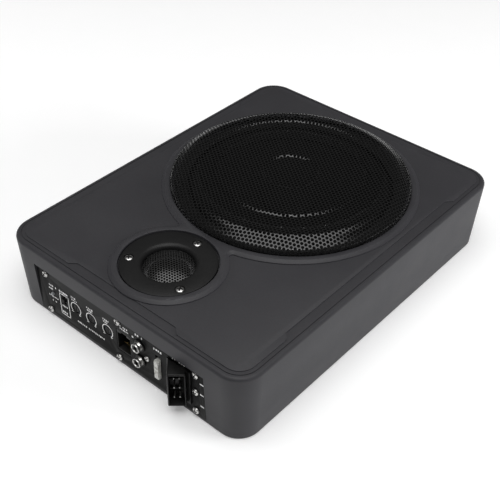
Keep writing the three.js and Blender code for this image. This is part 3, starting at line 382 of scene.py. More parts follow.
def finish_of(kind):
    """The finish of that kind, in the scene's colours."""
    tint = bpy.context.scene.speaker_colours
    plated = {"metal": 1.0, "grain": 0.3, "bump": 0.1, "wear": 0.0, "dust": 0.02, "mottle": 0.06}
    black = {"grain": 0.35, "bump": 0.15, "wear": 0.3, "dust": 0.01, "specular": 0.22}
    kinds = {
        "cabinet": ("Moulded cabinet plastic", tint.cabinet, 0.5,
                    {"grain": 0.7, "bump": 0.4, "depth": 0.08, "wear": 0.5, "dust": 0.06, "mottle": 0.1,
                     "specular": 0.3}),
        "grille": ("Powder-coated grille", tint.grille, 0.21,
                   {"grain": 0.3, "bump": 0.15, "wear": 0.1, "dust": 0.0, "specular": 0.6, "rough_spread": 0.03}),
        "mesh": ("Burnished mesh", (0.055, 0.055, 0.055), 0.22,
                 {"metal": 0.7, "grain": 0.3, "bump": 0.15, "wear": 0.3}),
        "ring": ("Satin ring plastic", tint.ring, 0.45,
                 {"grain": 0.35, "bump": 0.2, "wear": 0.3, "dust": 0.03, "specular": 0.25}),
        "plate": ("Coated panel plate", tint.plate, 0.5,
                  {"grain": 0.5, "bump": 0.3, "wear": 0.3, "dust": 0.02, "specular": 0.12}),
        "ink": ("White panel print", tint.ink, 0.5, {"grain": 0.4, "bump": 0.1, "mottle": 0.08, "wear": 0.0}),
        "socket": ("Black socket plastic", tint.socket, 0.35, black),
        "knob": ("Black knob plastic", tint.socket, 0.4, black),
        "plated": ("Bright plating", tint.plated, 0.3, plated),
        # painted shade: near-black metal on the screws' cross recesses stands in for the shade inside them
        "recess": ("Painted recess shade", (0.02, 0.02, 0.02), 0.7, {**plated, "metal": 0.6}),
        "gold": ("Plated contacts", (0.85, 0.62, 0.28), 0.25, plated),
        "lens": ("Frosted lens", (0.22, 0.23, 0.24), 0.3, {"grain": 0.3, "bump": 0.1, "coat": 0.5, "wear": 0.0}),
        "fuse": ("Clouded fuse plastic", tint.fuse, 0.22,
                 {"grain": 1.4, "bump": 0.9, "depth": 0.3, "mottle": 0.55, "mottle_size": 1.6, "clear": 0.25,
                  "coat": 0.6}),
        "steel": ("Zinc-plated steel", (0.5, 0.5, 0.51), 0.35, {**plated, "mottle": 0.2}),
        "cover": ("Coated cover steel", (0.03, 0.03, 0.032), 0.5,
                  {"grain": 0.6, "bump": 0.4, "wear": 0.6, "worn": (0.3, 0.3, 0.3), "specular": 0.3}),
        "basket": ("Stamped basket steel", (0.008, 0.008, 0.008), 0.5,
                   {"grain": 0.5, "wear": 0.2, "dust": 0.0, "specular": 0.2}),
        "rubber": ("Surround rubber", (0.004, 0.004, 0.004), 0.75,
                   {"grain": 0.5, "bump": 0.3, "wear": 0.0, "dust": 0.0, "specular": 0.15}),
        "cone": ("Pressed cone fibre", (0.005, 0.005, 0.005), 0.8,
                 {"grain": 1.5, "bump": 0.7, "depth": 0.2, "wear": 0.0, "dust": 0.0, "specular": 0.1}),
        "spider": ("Stiffened spider cloth", (0.5, 0.34, 0.13), 0.85, {"weave": 0.7, "bump": 0.8, "depth": 0.15}),
        "dome": ("Coated dome cloth", (0.004, 0.004, 0.004), 0.7,
                 {"weave": 0.4, "bump": 0.6, "depth": 0.06, "specular": 0.1, "dust": 0.0}),
        "copper": ("Enamelled wire", (0.7, 0.3, 0.1), 0.3,
                   {"metal": 0.9, "grain": 0.4, "stretch": (1, 1, 8), "bump": 0.6, "coat": 0.5}),
        "magnet": ("Ferrite", (0.05, 0.05, 0.053), 0.55, {"grain": 1.0, "bump": 0.4, "mottle": 0.3}),
        "pot": ("Control housing plastic", (0.03, 0.09, 0.2), 0.4, black),
        "board": ("Circuit board laminate", (0.015, 0.12, 0.04), 0.35,
                  {"grain": 2.0, "bump": 0.3, "mottle": 0.35, "mottle_size": 3, "coat": 0.4}),
        "heat_sink": ("Extruded aluminium", (0.6, 0.61, 0.62), 0.35,
                      {"metal": 1.0, "stretch": (1, 0.05, 1), "grain": 0.5, "bump": 0.3, "dust": 0.05}),
        "capacitor": ("Capacitor sleeve", (0.015, 0.02, 0.04), 0.3, {"grain": 0.5, "coat": 0.4}),
    }
    name, base, rough, look = kinds[kind]
    return surface(name, tuple(base), rough, **look)


# ---- Meshes ----
def upright(spot, z=0):
    """A place above or below spot whose local +Z points up."""
    return Matrix.Translation((spot.x, spot.y, z))


def outward(x, z, y=PLATE_FRONT):
    """A place on the panel whose local +Z points out of it, along -Y."""
    return Matrix.Translation((x, y, z)) @ Matrix.Rotation(math.pi / 2, 4, "X")


def centre(node):
    """The middle of a frame node's box."""
    low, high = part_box(node)
    return (low + high) / 2


def numbered(stem, count):
    """Node names stem_1 to stem_count."""
    return [f"{stem}_{i + 1}" for i in range(count)]


def quarter(steps):
    """Angles from zero to a right angle."""
    return [math.pi / 2 * i / steps for i in range(steps + 1)]


def add_turned(mesh, profile, place, steps=64):
    """Turns a closed (radius, height) profile in millimetres about the place's Z axis."""
    rings = []
    for radius, height in profile:
        if radius < 1e-6:
            rings.append([mesh.verts.new(place @ Vector((0, 0, height * MM)))] * steps)
            continue
        rings.append([
            mesh.verts.new(place @ Vector((
                radius * MM * math.cos(math.tau * i / steps), radius * MM * math.sin(math.tau * i / steps),
                height * MM,
            ))) for i in range(steps)
        ])
    for low, high in zip(rings, rings[1:] + rings[:1]):
        for i in range(steps):
            corners = []
            for vert in (low[i - 1], low[i], high[i], high[i - 1]):
                if vert not in corners:
                    corners.append(vert)
            if len(corners) > 2:
                mesh.faces.new(corners)


def add_block(mesh, low, high, place=Matrix()):
    """An upright block between two corners, in metres, then moved to the place."""
    middle = [(a + b) / 2 for a, b in zip(low, high)]
    size = [b - a for a, b in zip(low, high)]
    bmesh.ops.create_cube(mesh, size=1, matrix=place @ Matrix.Translation(middle) @ Matrix.Diagonal((*size, 1)))


def bridge(mesh, pairs):
    """Joins each pair of vertex rings with a band of faces."""
    for near, far in pairs:
        for i in range(len(near)):
            mesh.faces.new((near[i - 1], near[i], far[i], far[i - 1]))


def add_loft(mesh, rings):
    """Joins rings of equally many points into a closed body."""
    levels = [[mesh.verts.new(point) for point in ring] for ring in rings]
    bridge(mesh, zip(levels, levels[1:]))
    mesh.faces.new(levels[0][::-1])
    mesh.faces.new(levels[-1])


def add_tube(mesh, points, radius, sides=10):
    """A closed round wire along points, in metres."""
    rings = []
    for i, point in enumerate(points):
        ahead = points[min(i + 1, len(points) - 1)] - points[max(i - 1, 0)]
        across = ahead.orthogonal().normalized() if i == 0 else (across - across.project(ahead)).normalized()
        other = ahead.normalized().cross(across)
        rings.append([
            point + radius * (math.cos(math.tau * k / sides) * across + math.sin(math.tau * k / sides) * other)
            for k in range(sides)
        ])
    add_loft(mesh, rings)


def blocks(*spans, place=Matrix()):
    """What puts blocks into a mesh, one for each pair of corners."""
    def build(mesh):
        for low, high in spans:
            add_block(mesh, low, high, place)

    return build


def turned(profile, places, steps):
    """What puts the same turned body into a mesh at each place."""
    def build(mesh):
        for place in places:
            add_turned(mesh, profile, place, steps)

    return build


def loft(*rings):
    """What puts a body through the rings into a mesh."""
    return lambda mesh: add_loft(mesh, rings)


def as_object(name, mesh):
    """Closes a bmesh into a scene object with its faces outwards."""
    bmesh.ops.remove_doubles(mesh, verts=mesh.verts, dist=1e-7)
    bmesh.ops.recalc_face_normals(mesh, faces=mesh.faces)
    data = bpy.data.meshes.new(name)
    mesh.to_mesh(data)
    mesh.free()
    made = bpy.data.objects.new(name, data)
    bpy.context.scene.collection.objects.link(made)
    return made


def settle(piece):
    """Turns the piece's modifiers into a plain mesh."""
    graph = bpy.context.evaluated_depsgraph_get()
    made = bpy.data.meshes.new_from_object(piece.evaluated_get(graph), depsgraph=graph)
    old = piece.data
    piece.modifiers.clear()
    piece.data = made
    made.name = piece.name
    bpy.data.meshes.remove(old)


def from_tree(name, data, label, build, inputs):
    """A scene object from a mesh, changed by the Geometry Nodes tree of that label."""
    piece = bpy.data.objects.new(name, data)
    bpy.context.scene.collection.objects.link(piece)
    modifier = piece.modifiers.new(label, "NODES")
    modifier.node_group = shared(label, build)
    for key, value in inputs.items():
        set_input(modifier, key, value)
    settle(piece)
    return piece


def make(name, build):
    """A scene object from what build puts into a mesh."""
    mesh = bmesh.new()
    build(mesh)
    return as_object(name, mesh)


def combine(piece, *builds, operation="DIFFERENCE"):
    """Cuts away, or adds, what each build in turn puts into a mesh."""
    for build in builds:
        tool = make("tool", build)
        modifier = piece.modifiers.new("Combine", "BOOLEAN")
        modifier.object = tool
        modifier.operation = operation
        modifier.solver = "EXACT"
        settle(piece)
        bpy.data.objects.remove(tool)


unite = partial(combine, operation="UNION")


def round_edges(piece, width, segments=2, angle=40):
    """Rounds the piece's sharp edges."""
    modifier = piece.modifiers.new("Rounding", "BEVEL")
    modifier.width = width
    modifier.segments = segments
    modifier.limit_method = "ANGLE"
    modifier.angle_limit = math.radians(angle)
    modifier.use_clamp_overlap = True
    settle(piece)


def paint(data, kind, sharp):
    """Gives a mesh its finish (None keeps its own) and smooth faces."""
    if kind:
        data.materials.clear()
        data.materials.append(finish_of(kind))
        data.polygons.foreach_set("material_index", [0] * len(data.polygons))
    data.shade_smooth()
    data.set_sharp_from_angle(angle=math.radians(sharp))


def finish_piece(piece, kind, nodes, body="root", sharp=32):
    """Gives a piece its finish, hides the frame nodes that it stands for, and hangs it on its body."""
    paint(piece.data, kind, sharp)
    if nodes:
        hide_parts(*nodes)
    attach(piece, body)


# ---- Cabinet outlines ----
def body_outline(size, inset, z, steps=18):
    """The cabinet's rounded rectangle, moved in by inset."""
    radius = size.corner_radius - inset
    half = SHELL_HALF - Vector((inset + radius, inset + radius))
    corners = [(half.x, -half.y, -90), (half.x, half.y, 0), (-half.x, half.y, 90), (-half.x, -half.y, 180)]
    ring = []
    for x, y, start in corners:
        for i in range(steps + 1):
            angle = math.radians(start + 90 * i / steps)
            ring.append(Vector((x + radius * math.cos(angle), y + radius * math.sin(angle), z)))
    return ring


def deck_outline(size, inset, z):
    """The top's outline: a low strip is left in the middle of each side."""
    steps = 18
    corners = body_outline(size, size.rim_inset + inset, z, steps)
    near, deep = size.rim_inset + inset, size.strip_inset + inset
    ring = []
    for side in range(4):
        ring += corners[side * (steps + 1):(side + 1) * (steps + 1)]
        along_y = side % 2 == 0
        half = (size.side_strip if along_y else size.end_strip) / 2 + inset * 0.4
        reach = SHELL_HALF.x if along_y else SHELL_HALF.y
        sign = 1 if side < 2 else -1
        direction = -1 if along_y else 1
        for along, depth in (
            (half + size.strip_chamfer, near), (half, deep), (-half, deep), (-half - size.strip_chamfer, near),
        ):
            across = reach - depth
            spot = (across, direction * along) if along_y else (direction * along, across)
            ring.append(Vector((sign * spot[0], sign * spot[1], z)))
    return ring


def plateau_outline(size, inset, z):
    """The figure of eight round the grille and the tweeter, moved in by inset."""
    big = GRILLE_RADIUS + size.plateau_margin - inset
    small = RING_RADIUS + size.plateau_margin - inset
    fillet = size.waist_fillet + inset
    spacing = WOOFER.y - TWEETER.y
    far, close = big + fillet, small + fillet
    along = (far * far - close * close + spacing * spacing) / (2 * spacing)
    side = math.sqrt(far * far - along * along)
    waist = Vector((side, WOOFER.y - along))
    big_touch = math.atan2(waist.y - WOOFER.y, waist.x)
    small_touch = math.atan2(waist.y - TWEETER.y, waist.x)
    ring = []
    for x, y, radius, start, stop, steps in (
        (0, WOOFER.y, big, big_touch, math.pi - big_touch, 120),
        (-waist.x, waist.y, fillet, -big_touch, -small_touch, 8),
        (0, TWEETER.y, small, math.pi - small_touch, math.tau + small_touch, 60),
        (waist.x, waist.y, fillet, math.pi + small_touch, math.pi + big_touch, 8),
    ):
        for i in range(steps):
            angle = start + (stop - start) * i / steps
            ring.append(Vector((x + radius * math.cos(angle), y + radius * math.sin(angle), z)))
    return ring


def build_cabinet():
    """The moulded top shell, with its panel recess, grille seat and tweeter seat."""
    size = bpy.context.scene.cabinet_sizes
    plateau_top = SHELL_HIGH.z
    deck_top = plateau_top - size.plateau_rise
    rim_top = deck_top - size.rim_step
    wall_top = rim_top - size.edge_radius
    ledge = PLATE_HIGH.y + GAP

    def lean(z):
        """How far the wall lies inside its widest line at height z."""
        return size.draft * (1 - z / wall_top)

    body = []
    for angle in quarter(4):
        z = size.foot_rounding * (1 - math.cos(angle))
        body.append(body_outline(size, lean(z) + size.foot_rounding * (1 - math.sin(angle)), z))
    for share in (0.3, 0.7):
        body.append(body_outline(size, lean(wall_top * share), wall_top * share))
    for angle in quarter(10):
        z = rim_top - size.edge_radius * (1 - math.sin(angle))
        body.append(body_outline(size, size.edge_radius * (1 - math.cos(angle)), z))
    soft = 0.35 * MM
    deck = [deck_outline(size, inset, z) for inset, z in (
        (0, rim_top - size.rim_step), (0, deck_top - soft), (soft * 0.3, deck_top - soft * 0.3), (soft, deck_top),
    )]
    plateau = [plateau_outline(size, 0, z) for z in (deck_top - size.rim_step, deck_top + 0.05 * MM)]
    for share, height in ((0.08, 0.3), (0.16, 0.4), (0.86, 0.93), (0.94, 0.985), (1.0, 1.0)):
        plateau.append(plateau_outline(size, size.plateau_shoulder * share, deck_top + size.plateau_rise * height))

    def groove(mesh):
        outer, inner = size.groove_inset, size.groove_inset + size.groove_width
        high, low = rim_top + 1 * MM, rim_top - size.groove_depth
        rings = [
            [mesh.verts.new(point) for point in body_outline(size, inset, z)]
            for inset, z in ((outer, high), (outer, low), (inner, low), (inner, high))
        ]
        bridge(mesh, zip(rings, rings[1:] + rings[:1]))

    foot_inset = lean(0) + size.wall
    hollow = loft(
        body_outline(size, foot_inset, -5 * MM), body_outline(size, foot_inset, 0),
        body_outline(size, size.wall, deck_top - size.deck),
    )
    border, depth = 7 * MM, 4.6 * MM
    frame_behind = blocks((
        (PLATE_LOW.x - border, ledge, 2.8 * MM), (PLATE_HIGH.x + border, ledge + depth, PLATE_HIGH.z + border),
    ))
    recess = blocks(((PLATE_LOW.x - GAP, -0.2, PLATE_LOW.z - GAP), (PLATE_HIGH.x + GAP, ledge, PLATE_HIGH.z + GAP)))
    lamp_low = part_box("power_led")[0]
    phono_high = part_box("phono_housing")[1]
    power_low, power_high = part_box("power_socket")
    front = -0.19
    window = blocks((
        (lamp_low.x - 1.9 * MM, front, 9.6 * MM), (power_high.x + 0.6 * MM, ledge + 10 * MM, phono_high.z + GAP),
    ))
    tall_window = blocks((
        (power_low.x + 1.8 * MM, front, 9.7 * MM), (power_high.x - 1.8 * MM, ledge + 11 * MM, power_high.z - GAP),
    ))

    def seat(place, radius, depth, inner):
        """The step that a round cover lies in, and the opening under it; in millimetres."""
        top = plateau_top / MM
        return turned([
            (0, top - 12), (inner, top - 12), (inner, top - depth), (radius, top - depth), (radius, top - 0.4),
            (radius + 0.12, top - 0.12), (radius + 0.4, top), (radius + 0.5, top + 4), (0, top + 4),
        ], [upright(place)], 144)

    def seats(mesh):
        seat(WOOFER, GRILLE_RADIUS / MM + 0.5, 4.0, 93.0)(mesh)
        seat(TWEETER, RING_RADIUS / MM + 0.4, 3.5, 27.6)(mesh)

    shell = make("cabinet", loft(*body))
    combine(shell, groove)
    unite(shell, loft(*deck), loft(*plateau))
    combine(shell, hollow)
    unite(shell, frame_behind)
    combine(shell, recess, window, tall_window, seats)
    finish_piece(shell, "cabinet", ["top_shell"], sharp=24)


def build_cover():
    """The bottom cover, with a hole and a recess at each screw."""
    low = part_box("bottom_cover")[0]
    size = bpy.context.scene.cabinet_sizes
    inset = size.draft + size.wall + 0.5 * MM
    soft = 0.3 * MM
    places = [upright(centre(screw)) for screw in numbered("bottom_screw", 6)]
    cover = make("cover", loft(
        body_outline(size, inset + soft, low.z), body_outline(size, inset, low.z + soft),
        body_outline(size, inset, low.z + 2.5 * MM),
    ))
    middles = [(i - 4) * 16 * MM for i in range(9)]
    combine(
        cover,
        turned([(0, -5), (4.1, -5), (4.1, -0.1), (3.7, 0.3), (3.7, 1.7), (0, 1.7)], places, 32),
        turned([(0, 1), (1.8, 1), (1.8, 6), (0, 6)], places, 24),
        blocks(*(((x - 1.5 * MM, 0.02, -0.005), (x + 1.5 * MM, 0.11, 0.0006)) for x in middles)),
    )
    finish_piece(cover, "cover", ["bottom_cover"])


# ---- Perforated sheets ----
def perforated_tree():
    """Geometry Nodes: a sheet of round holes in a hexagonal lattice, laid over a turned profile."""
    add, calc, given, give = new_group(
        "GeometryNodeTree", "Perforated sheet",
        [("Profile", "Geometry", None), ("Pitch", "Float", 0.00358), ("Hole Radius", "Float", 0.00115),
         ("Row Angle", "Float", 0.0), ("From Length", "Float", 0.0), ("To Length", "Float", 0.1),
         ("Rim Length", "Float", 0.1), ("Corner Rounding", "Float", 0.0005), ("Centre", "Vector", None),
         ("Material", "Material", None)],
        [("Geometry", "Geometry")],
    )
    pitch = given["Pitch"]
    row = calc("MULTIPLY", pitch, math.sqrt(3) / 2)

    def counted(step):
        half = calc("CEIL", calc("DIVIDE", given["To Length"], step))
        return calc("MULTIPLY_ADD", half, 2.0, 3.0)

    across, up = counted(pitch), counted(row)
    lattice = add("GeometryNodeMeshGrid", {
        "Size X": calc("MULTIPLY", calc("SUBTRACT", across, 1.0), pitch),
        "Size Y": calc("MULTIPLY", calc("SUBTRACT", up, 1.0), row),
        "Vertices X": across, "Vertices Y": up,
    })
    spot = add("GeometryNodeInputPosition")
    parts = add("ShaderNodeSeparateXYZ", {0: spot})
    number = calc("ROUND", calc("DIVIDE", parts.outputs["Y"], row))
    odd = calc("FLOORED_MODULO", number, 2.0)
    shift = calc("MULTIPLY", calc("MULTIPLY", odd, pitch), 0.5)
    staggered = add("GeometryNodeSetPosition", {
        "Geometry": lattice.outputs["Mesh"], "Offset": add("ShaderNodeCombineXYZ", {"X": shift}),
    })
    away = add("ShaderNodeVectorMath", {0: spot}, operation="LENGTH").outputs["Value"]
    outside = calc("GREATER_THAN", away, given["To Length"])
    inside = calc("LESS_THAN", away, given["From Length"])
    kept = add("GeometryNodeDeleteGeometry", {
        "Geometry": staggered, "Selection": calc("MAXIMUM", outside, inside),
    }, domain="POINT")

    hole = add("GeometryNodeMeshCircle", {"Vertices": 12, "Radius": given["Hole Radius"]})
    wider = add("GeometryNodeExtrudeMesh", {"Mesh": hole, "Offset Scale": 0.0}, mode="EDGES")
    angle = calc("ARCTAN2", parts.outputs["Y"], parts.outputs["X"])
    wave = calc("COSINE", calc("MULTIPLY", angle, 6.0))
    share = calc("MULTIPLY_ADD", wave, 0.5, 0.5)
    corner = calc("DIVIDE", pitch, math.sqrt(3))
    less = calc("MULTIPLY", pitch, 0.5 - 1 / math.sqrt(3))
    reach = calc("MULTIPLY_ADD", share, less, corner)
    unit = add("ShaderNodeVectorMath", {0: spot}, operation="NORMALIZE")
    edge = add("ShaderNodeVectorMath", {0: unit, "Scale": reach}, operation="SCALE")
    cell = add("GeometryNodeSetPosition", {
        "Geometry": wider.outputs["Mesh"], "Selection": wider.outputs["Top"], "Position": edge,
    })
    laid = add("GeometryNodeInstanceOnPoints", {"Points": kept, "Instance": cell})
    joined = add("GeometryNodeRealizeInstances", {0: laid})
    welded = add("GeometryNodeMergeByDistance", {"Geometry": joined, "Distance": calc("MULTIPLY", pitch, 0.02)})
    spun = add("GeometryNodeTransform", {
        "Geometry": welded,
        "Rotation": add("ShaderNodeCombineXYZ", {"Z": given["Row Angle"]}),
    })

    curve = add("GeometryNodeMeshToCurve", {"Mesh": given["Profile"]})
    rounded = add("GeometryNodeFilletCurve", {
        "Curve": curve, "Radius": given["Corner Rounding"], "Limit Radius": True, "Count": 4,
    }, mode="POLY")
    sample = add("GeometryNodeSampleCurve", {
        "Curves": rounded, "Length": calc("MINIMUM", away, given["Rim Length"]),
    }, mode="LENGTH", use_all_curves=True)
    drawn = add("ShaderNodeSeparateXYZ", {0: sample.outputs["Position"]})
    flat = add("ShaderNodeVectorMath", {0: unit, "Scale": drawn.outputs["X"]}, operation="SCALE")
    lifted = add("ShaderNodeVectorMath", {
        0: flat, 1: add("ShaderNodeCombineXYZ", {"Z": drawn.outputs["Z"]}),
    }, operation="ADD")
    pressed = add("GeometryNodeSetPosition", {"Geometry": spun, "Position": lifted})
    placed = add("GeometryNodeTransform", {"Geometry": pressed, "Translation": given["Centre"]})
    real = add("GeometryNodeRealizeInstances", {0: placed})
    painted = add("GeometryNodeSetMaterial", {"Geometry": real, "Material": given["Material"]})
    give("Geometry", painted)


def perforated(name, profile, inputs, thickness):
    """A perforated sheet over a profile of (radius, height) in millimetres, from the centre out."""
    data = bpy.data.meshes.new(name)
    points = [(radius * MM, 0, height * MM) for radius, height in profile]
    data.from_pydata(points, [(i, i + 1) for i in range(len(points) - 1)], [])
    piece = from_tree(name, data, "Perforated sheet", perforated_tree, inputs)
    mesh = bmesh.new()
    mesh.from_mesh(piece.data)
    bmesh.ops.dissolve_degenerate(mesh, dist=1e-5, edges=mesh.edges)
    mesh.to_mesh(piece.data)
    mesh.free()
    thick = piece.modifiers.new("Sheet", "SOLIDIFY")
    thick.thickness = thickness
    thick.offset = -1
    settle(piece)
    return piece


def profile_length(profile):
    """Length of a profile in metres."""
    return MM * sum(math.dist(a, b) for a, b in zip(profile, profile[1:]))


def build_grille():
    """The pressed, perforated grille over the woofer, in two meshes."""
    size = bpy.context.scene.speaker_sizes
    radius = GRILLE_RADIUS / MM
    top = (GRILLE_HIGH.z - GRILLE_LOW.z) / MM
    profile = [
        (0, top - 3.6), (23.6, top - 3.6), (25.1, top - 2.35), (radius - 41.4, top - 1.7), (radius - 40, top - 2.9),
        (radius - 24.8, top - 2.6), (radius - 24, top - 1.5), (radius - 18.6, top - 0.4), (radius - 15.8, top - 0.02),
        (radius - 13, top - 0.4), (radius - 9, top - 2), (radius - 4, top - 4.9), (radius - 1.6, top - 6.2),
        (radius, top - 8), (radius, 0.6),
    ]
    rim = profile_length(profile)
    for name, start, stop in (("grille_centre", 0, size.split_radius), ("grille_edge", size.split_radius, rim)):
        piece = perforated(name, profile, {
            "Pitch": size.hole_pitch, "Hole Radius": size.hole_radius, "Row Angle": size.row_angle,
            "From Length": start, "To Length": stop, "Rim Length": rim, "Corner Rounding": 0.3 * MM,
            "Centre": tuple(WOOFER), "Material": finish_of("grille"),
        }, size.sheet)
        finish_piece(piece, "grille", ["woofer_grille"], sharp=50)


# ---- Tweeter ----
def build_tweeter():
    """The tweeter's ring and its domed mesh."""
    size = bpy.context.scene.speaker_sizes
    radius = RING_RADIUS / MM
    mouth = radius - 19.3
    top = (RING_HIGH.z - TWEETER.z) / MM
    soft = size.ring_bevel / MM
    edge = radius - size.seam / MM
    piece = make("tweeter_ring", turned([
        (edge, 0), (edge, top - soft), (edge - soft * 0.3, top - soft * 0.3), (edge - soft, top),
        (mouth + 4.2, top), (mouth + 3.2, top - 0.12), (mouth + 2.2, top - 0.6), (mouth + 1.4, top - 1.2),
        (mouth + 0.8, top - 1.9), (mouth + 0.3, top - 2.8), (mouth, top - 3.8), (mouth, -9.7),
        (mouth + 5, -9.7), (mouth + 5, 0),
    ], [upright(TWEETER, TWEETER.z)], 128))
    combine(piece, turned([
        (0, top - 1.7), (3.9, top - 1.7), (4.0, top - 0.15), (4.25, top + 0.1), (4.25, top + 1), (0, top + 1),
    ], [upright(centre(screw), TWEETER.z) for screw in numbered("tweeter_screw", 3)], 40))
    finish_piece(piece, "ring", ["tweeter_trim_ring"], sharp=40)

    low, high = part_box("tweeter_mesh")
    reach = (high.y - low.y) / 2 / MM
    rise = (high.z - low.z) / MM
    profile = [(reach * i / 16, rise * (1 - (i / 16) ** 2)) for i in range(17)]
    rim = profile_length(profile)
    mesh = perforated("tweeter_grille", profile, {
        "Pitch": size.mesh_pitch, "Hole Radius": size.mesh_hole, "Row Angle": 0.3,
        "From Length": 0.0, "To Length": rim, "Rim Length": rim, "Corner Rounding": 0.0,
        "Centre": (TWEETER.x, TWEETER.y, low.z + 0.05 * MM), "Material": finish_of("mesh"),
    }, size.mesh_sheet)
    finish_piece(mesh, "mesh", ["tweeter_mesh"], sharp=60)


# ---- Screws ----
def screw_tree():
    """Geometry Nodes: pan-head screws with a cross recess on every point."""
    add, calc, given, give = new_group(
        "GeometryNodeTree", "Pan-head screws",
        [("Points", "Geometry", None), ("Head Radius", "Float", 0.003), ("Head Height", "Float", 0.0019),
         ("Shank Radius", "Float", 0.0013), ("Shank Length", "Float", 0.006), ("Recess", "Float", 0.6),
         ("Facing", "Vector", None), ("Seed", "Int", 0), ("Material", "Material", None),
         ("Recess Material", "Material", None)],
        [("Geometry", "Geometry")],
    )
    ball = add("GeometryNodeMeshUVSphere", {"Segments": 32, "Rings": 16, "Radius": 1.0})
    spot = add("ShaderNodeSeparateXYZ", {0: add("GeometryNodeInputPosition")})
    lifted = calc("POWER", calc("MAXIMUM", spot.outputs["Z"], 0.0), 0.62)
    shape = add("ShaderNodeCombineXYZ", {
        "X": calc("MULTIPLY", spot.outputs["X"], given["Head Radius"]),
        "Y": calc("MULTIPLY", spot.outputs["Y"], given["Head Radius"]),
        "Z": calc("MULTIPLY", lifted, given["Head Height"]),
    })
    head = add("GeometryNodeSetPosition", {"Geometry": ball, "Position": shape})
    head = add("GeometryNodeMergeByDistance", {"Geometry": head, "Distance": 1e-6})
    shank = add("GeometryNodeMeshCylinder", {
        "Vertices": 24, "Radius": given["Shank Radius"], "Depth": given["Shank Length"],
    })
    sunk = add("ShaderNodeCombineXYZ", {"Z": calc("MULTIPLY_ADD", given["Shank Length"], -0.5, 0.0004)})
    shank = add("GeometryNodeTransform", {"Geometry": shank, "Translation": sunk})
    body = add("GeometryNodeMeshBoolean", {"Mesh 2": [head, shank]}, operation="UNION", solver="EXACT")
    body = add("GeometryNodeSetMaterial", {"Geometry": body, "Material": given["Material"]})
    long = calc("MULTIPLY", calc("MULTIPLY", given["Head Radius"], 2.0), given["Recess"])
    thin = calc("MULTIPLY", given["Head Radius"], 0.34)
    # the cutters carry the recess material, so the recess walls come out painted dark as shade
    cutters = []
    for sizes in ({"X": long, "Y": thin}, {"X": thin, "Y": long}):
        bar = add("GeometryNodeMeshCube", {
            "Size": add("ShaderNodeCombineXYZ", {**sizes, "Z": given["Head Height"]}),
        })
        raised = add("ShaderNodeCombineXYZ", {"Z": calc("MULTIPLY", given["Head Height"], 0.95)})
        moved = add("GeometryNodeTransform", {"Geometry": bar, "Translation": raised})
        cutters.append(add("GeometryNodeSetMaterial", {"Geometry": moved, "Material": given["Recess Material"]}))
    cut = add("GeometryNodeMeshBoolean", {"Mesh 1": body, "Mesh 2": cutters}, operation="DIFFERENCE", solver="EXACT")
    spin = add("FunctionNodeRandomValue", {"Seed": given["Seed"], 2: 0.0, 3: math.tau / 4}, data_type="FLOAT")
    about = add("ShaderNodeCombineXYZ", {"Z": spin.outputs[1]})
    local = add("FunctionNodeEulerToRotation", {0: about})
    facing = add("FunctionNodeEulerToRotation", {0: given["Facing"]})
    both = add("FunctionNodeRotateRotation", {"Rotation": facing, "Rotate By": local}, rotation_space="LOCAL")
    laid = add("GeometryNodeInstanceOnPoints", {"Points": given["Points"], "Instance": cut, "Rotation": both})
    real = add("GeometryNodeRealizeInstances", {0: laid})
    give("Geometry", real)


# For each way a head can face: the axis, its sign, and the turn about X that aims +Z along it.
FACINGS = {"+Z": (2, 1, 0.0), "-Z": (2, -1, math.pi), "-Y": (1, -1, math.pi / 2)}
SCREWS = (
    # name, nodes, head radius, head height and shank radius in millimetres, facing, finish
    ("panel_screws", numbered("panel_screw", 7), 3, 1.9, 1.3, "-Y", "plated"),
    ("phono_fixing", ["phono_screw"], 2.4, 1.7, 1.3, "-Y", "plated"),
    ("tweeter_screws", numbered("tweeter_screw", 3), 3.7, 1.7, 1.8, "+Z", "plated"),
    ("bottom_screws", numbered("bottom_screw", 6), 3.4, 1.2, 1.5, "-Z", "plated"),
    ("woofer_screws", numbered("woofer_screw", 4), 3.5, 2.2, 1.6, "+Z", "basket"),
)


def screws(name, nodes, head_radius, head_height, shank_radius, facing, finish, seed):
    """Screws in place of the frame's nodes."""
    axis, sign, tilt = FACINGS[facing]
    points, lengths = [], []
    for node in nodes:
        low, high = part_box(node)
        point = (low + high) / 2
        point[axis] = high[axis] - head_height if sign > 0 else low[axis] + head_height
        points.append(point)
        lengths.append(high[axis] - low[axis] - head_height)
    data = bpy.data.meshes.new(name)
    data.from_pydata(points, [], [])
    piece = from_tree(name, data, "Pan-head screws", screw_tree, {
        "Head Radius": head_radius, "Head Height": head_height, "Shank Radius": shank_radius,
        "Shank Length": min(lengths), "Recess": 0.7, "Facing": (tilt, 0.0, 0.0), "Seed": seed,
        # the recesses get the painted-shade material
        "Material": finish_of(finish), "Recess Material": finish_of("recess"),
    })
    finish_piece(piece, None, nodes, sharp=35)


def build_screws():
    """Every screw that shows, and those under the grille."""
    seed = bpy.context.scene.panel_sizes.spin_seed
    for i, (name, nodes, *sizes, facing, finish) in enumerate(SCREWS):
        screws(name, nodes, *(size * MM for size in sizes), facing, finish, seed + i)


# ---- Control panel ----
KNOBS = ("level_knob", "low_pass_knob", "boost_knob")
SLEEVES = ("phono_sleeve_1", "phono_sleeve_2")


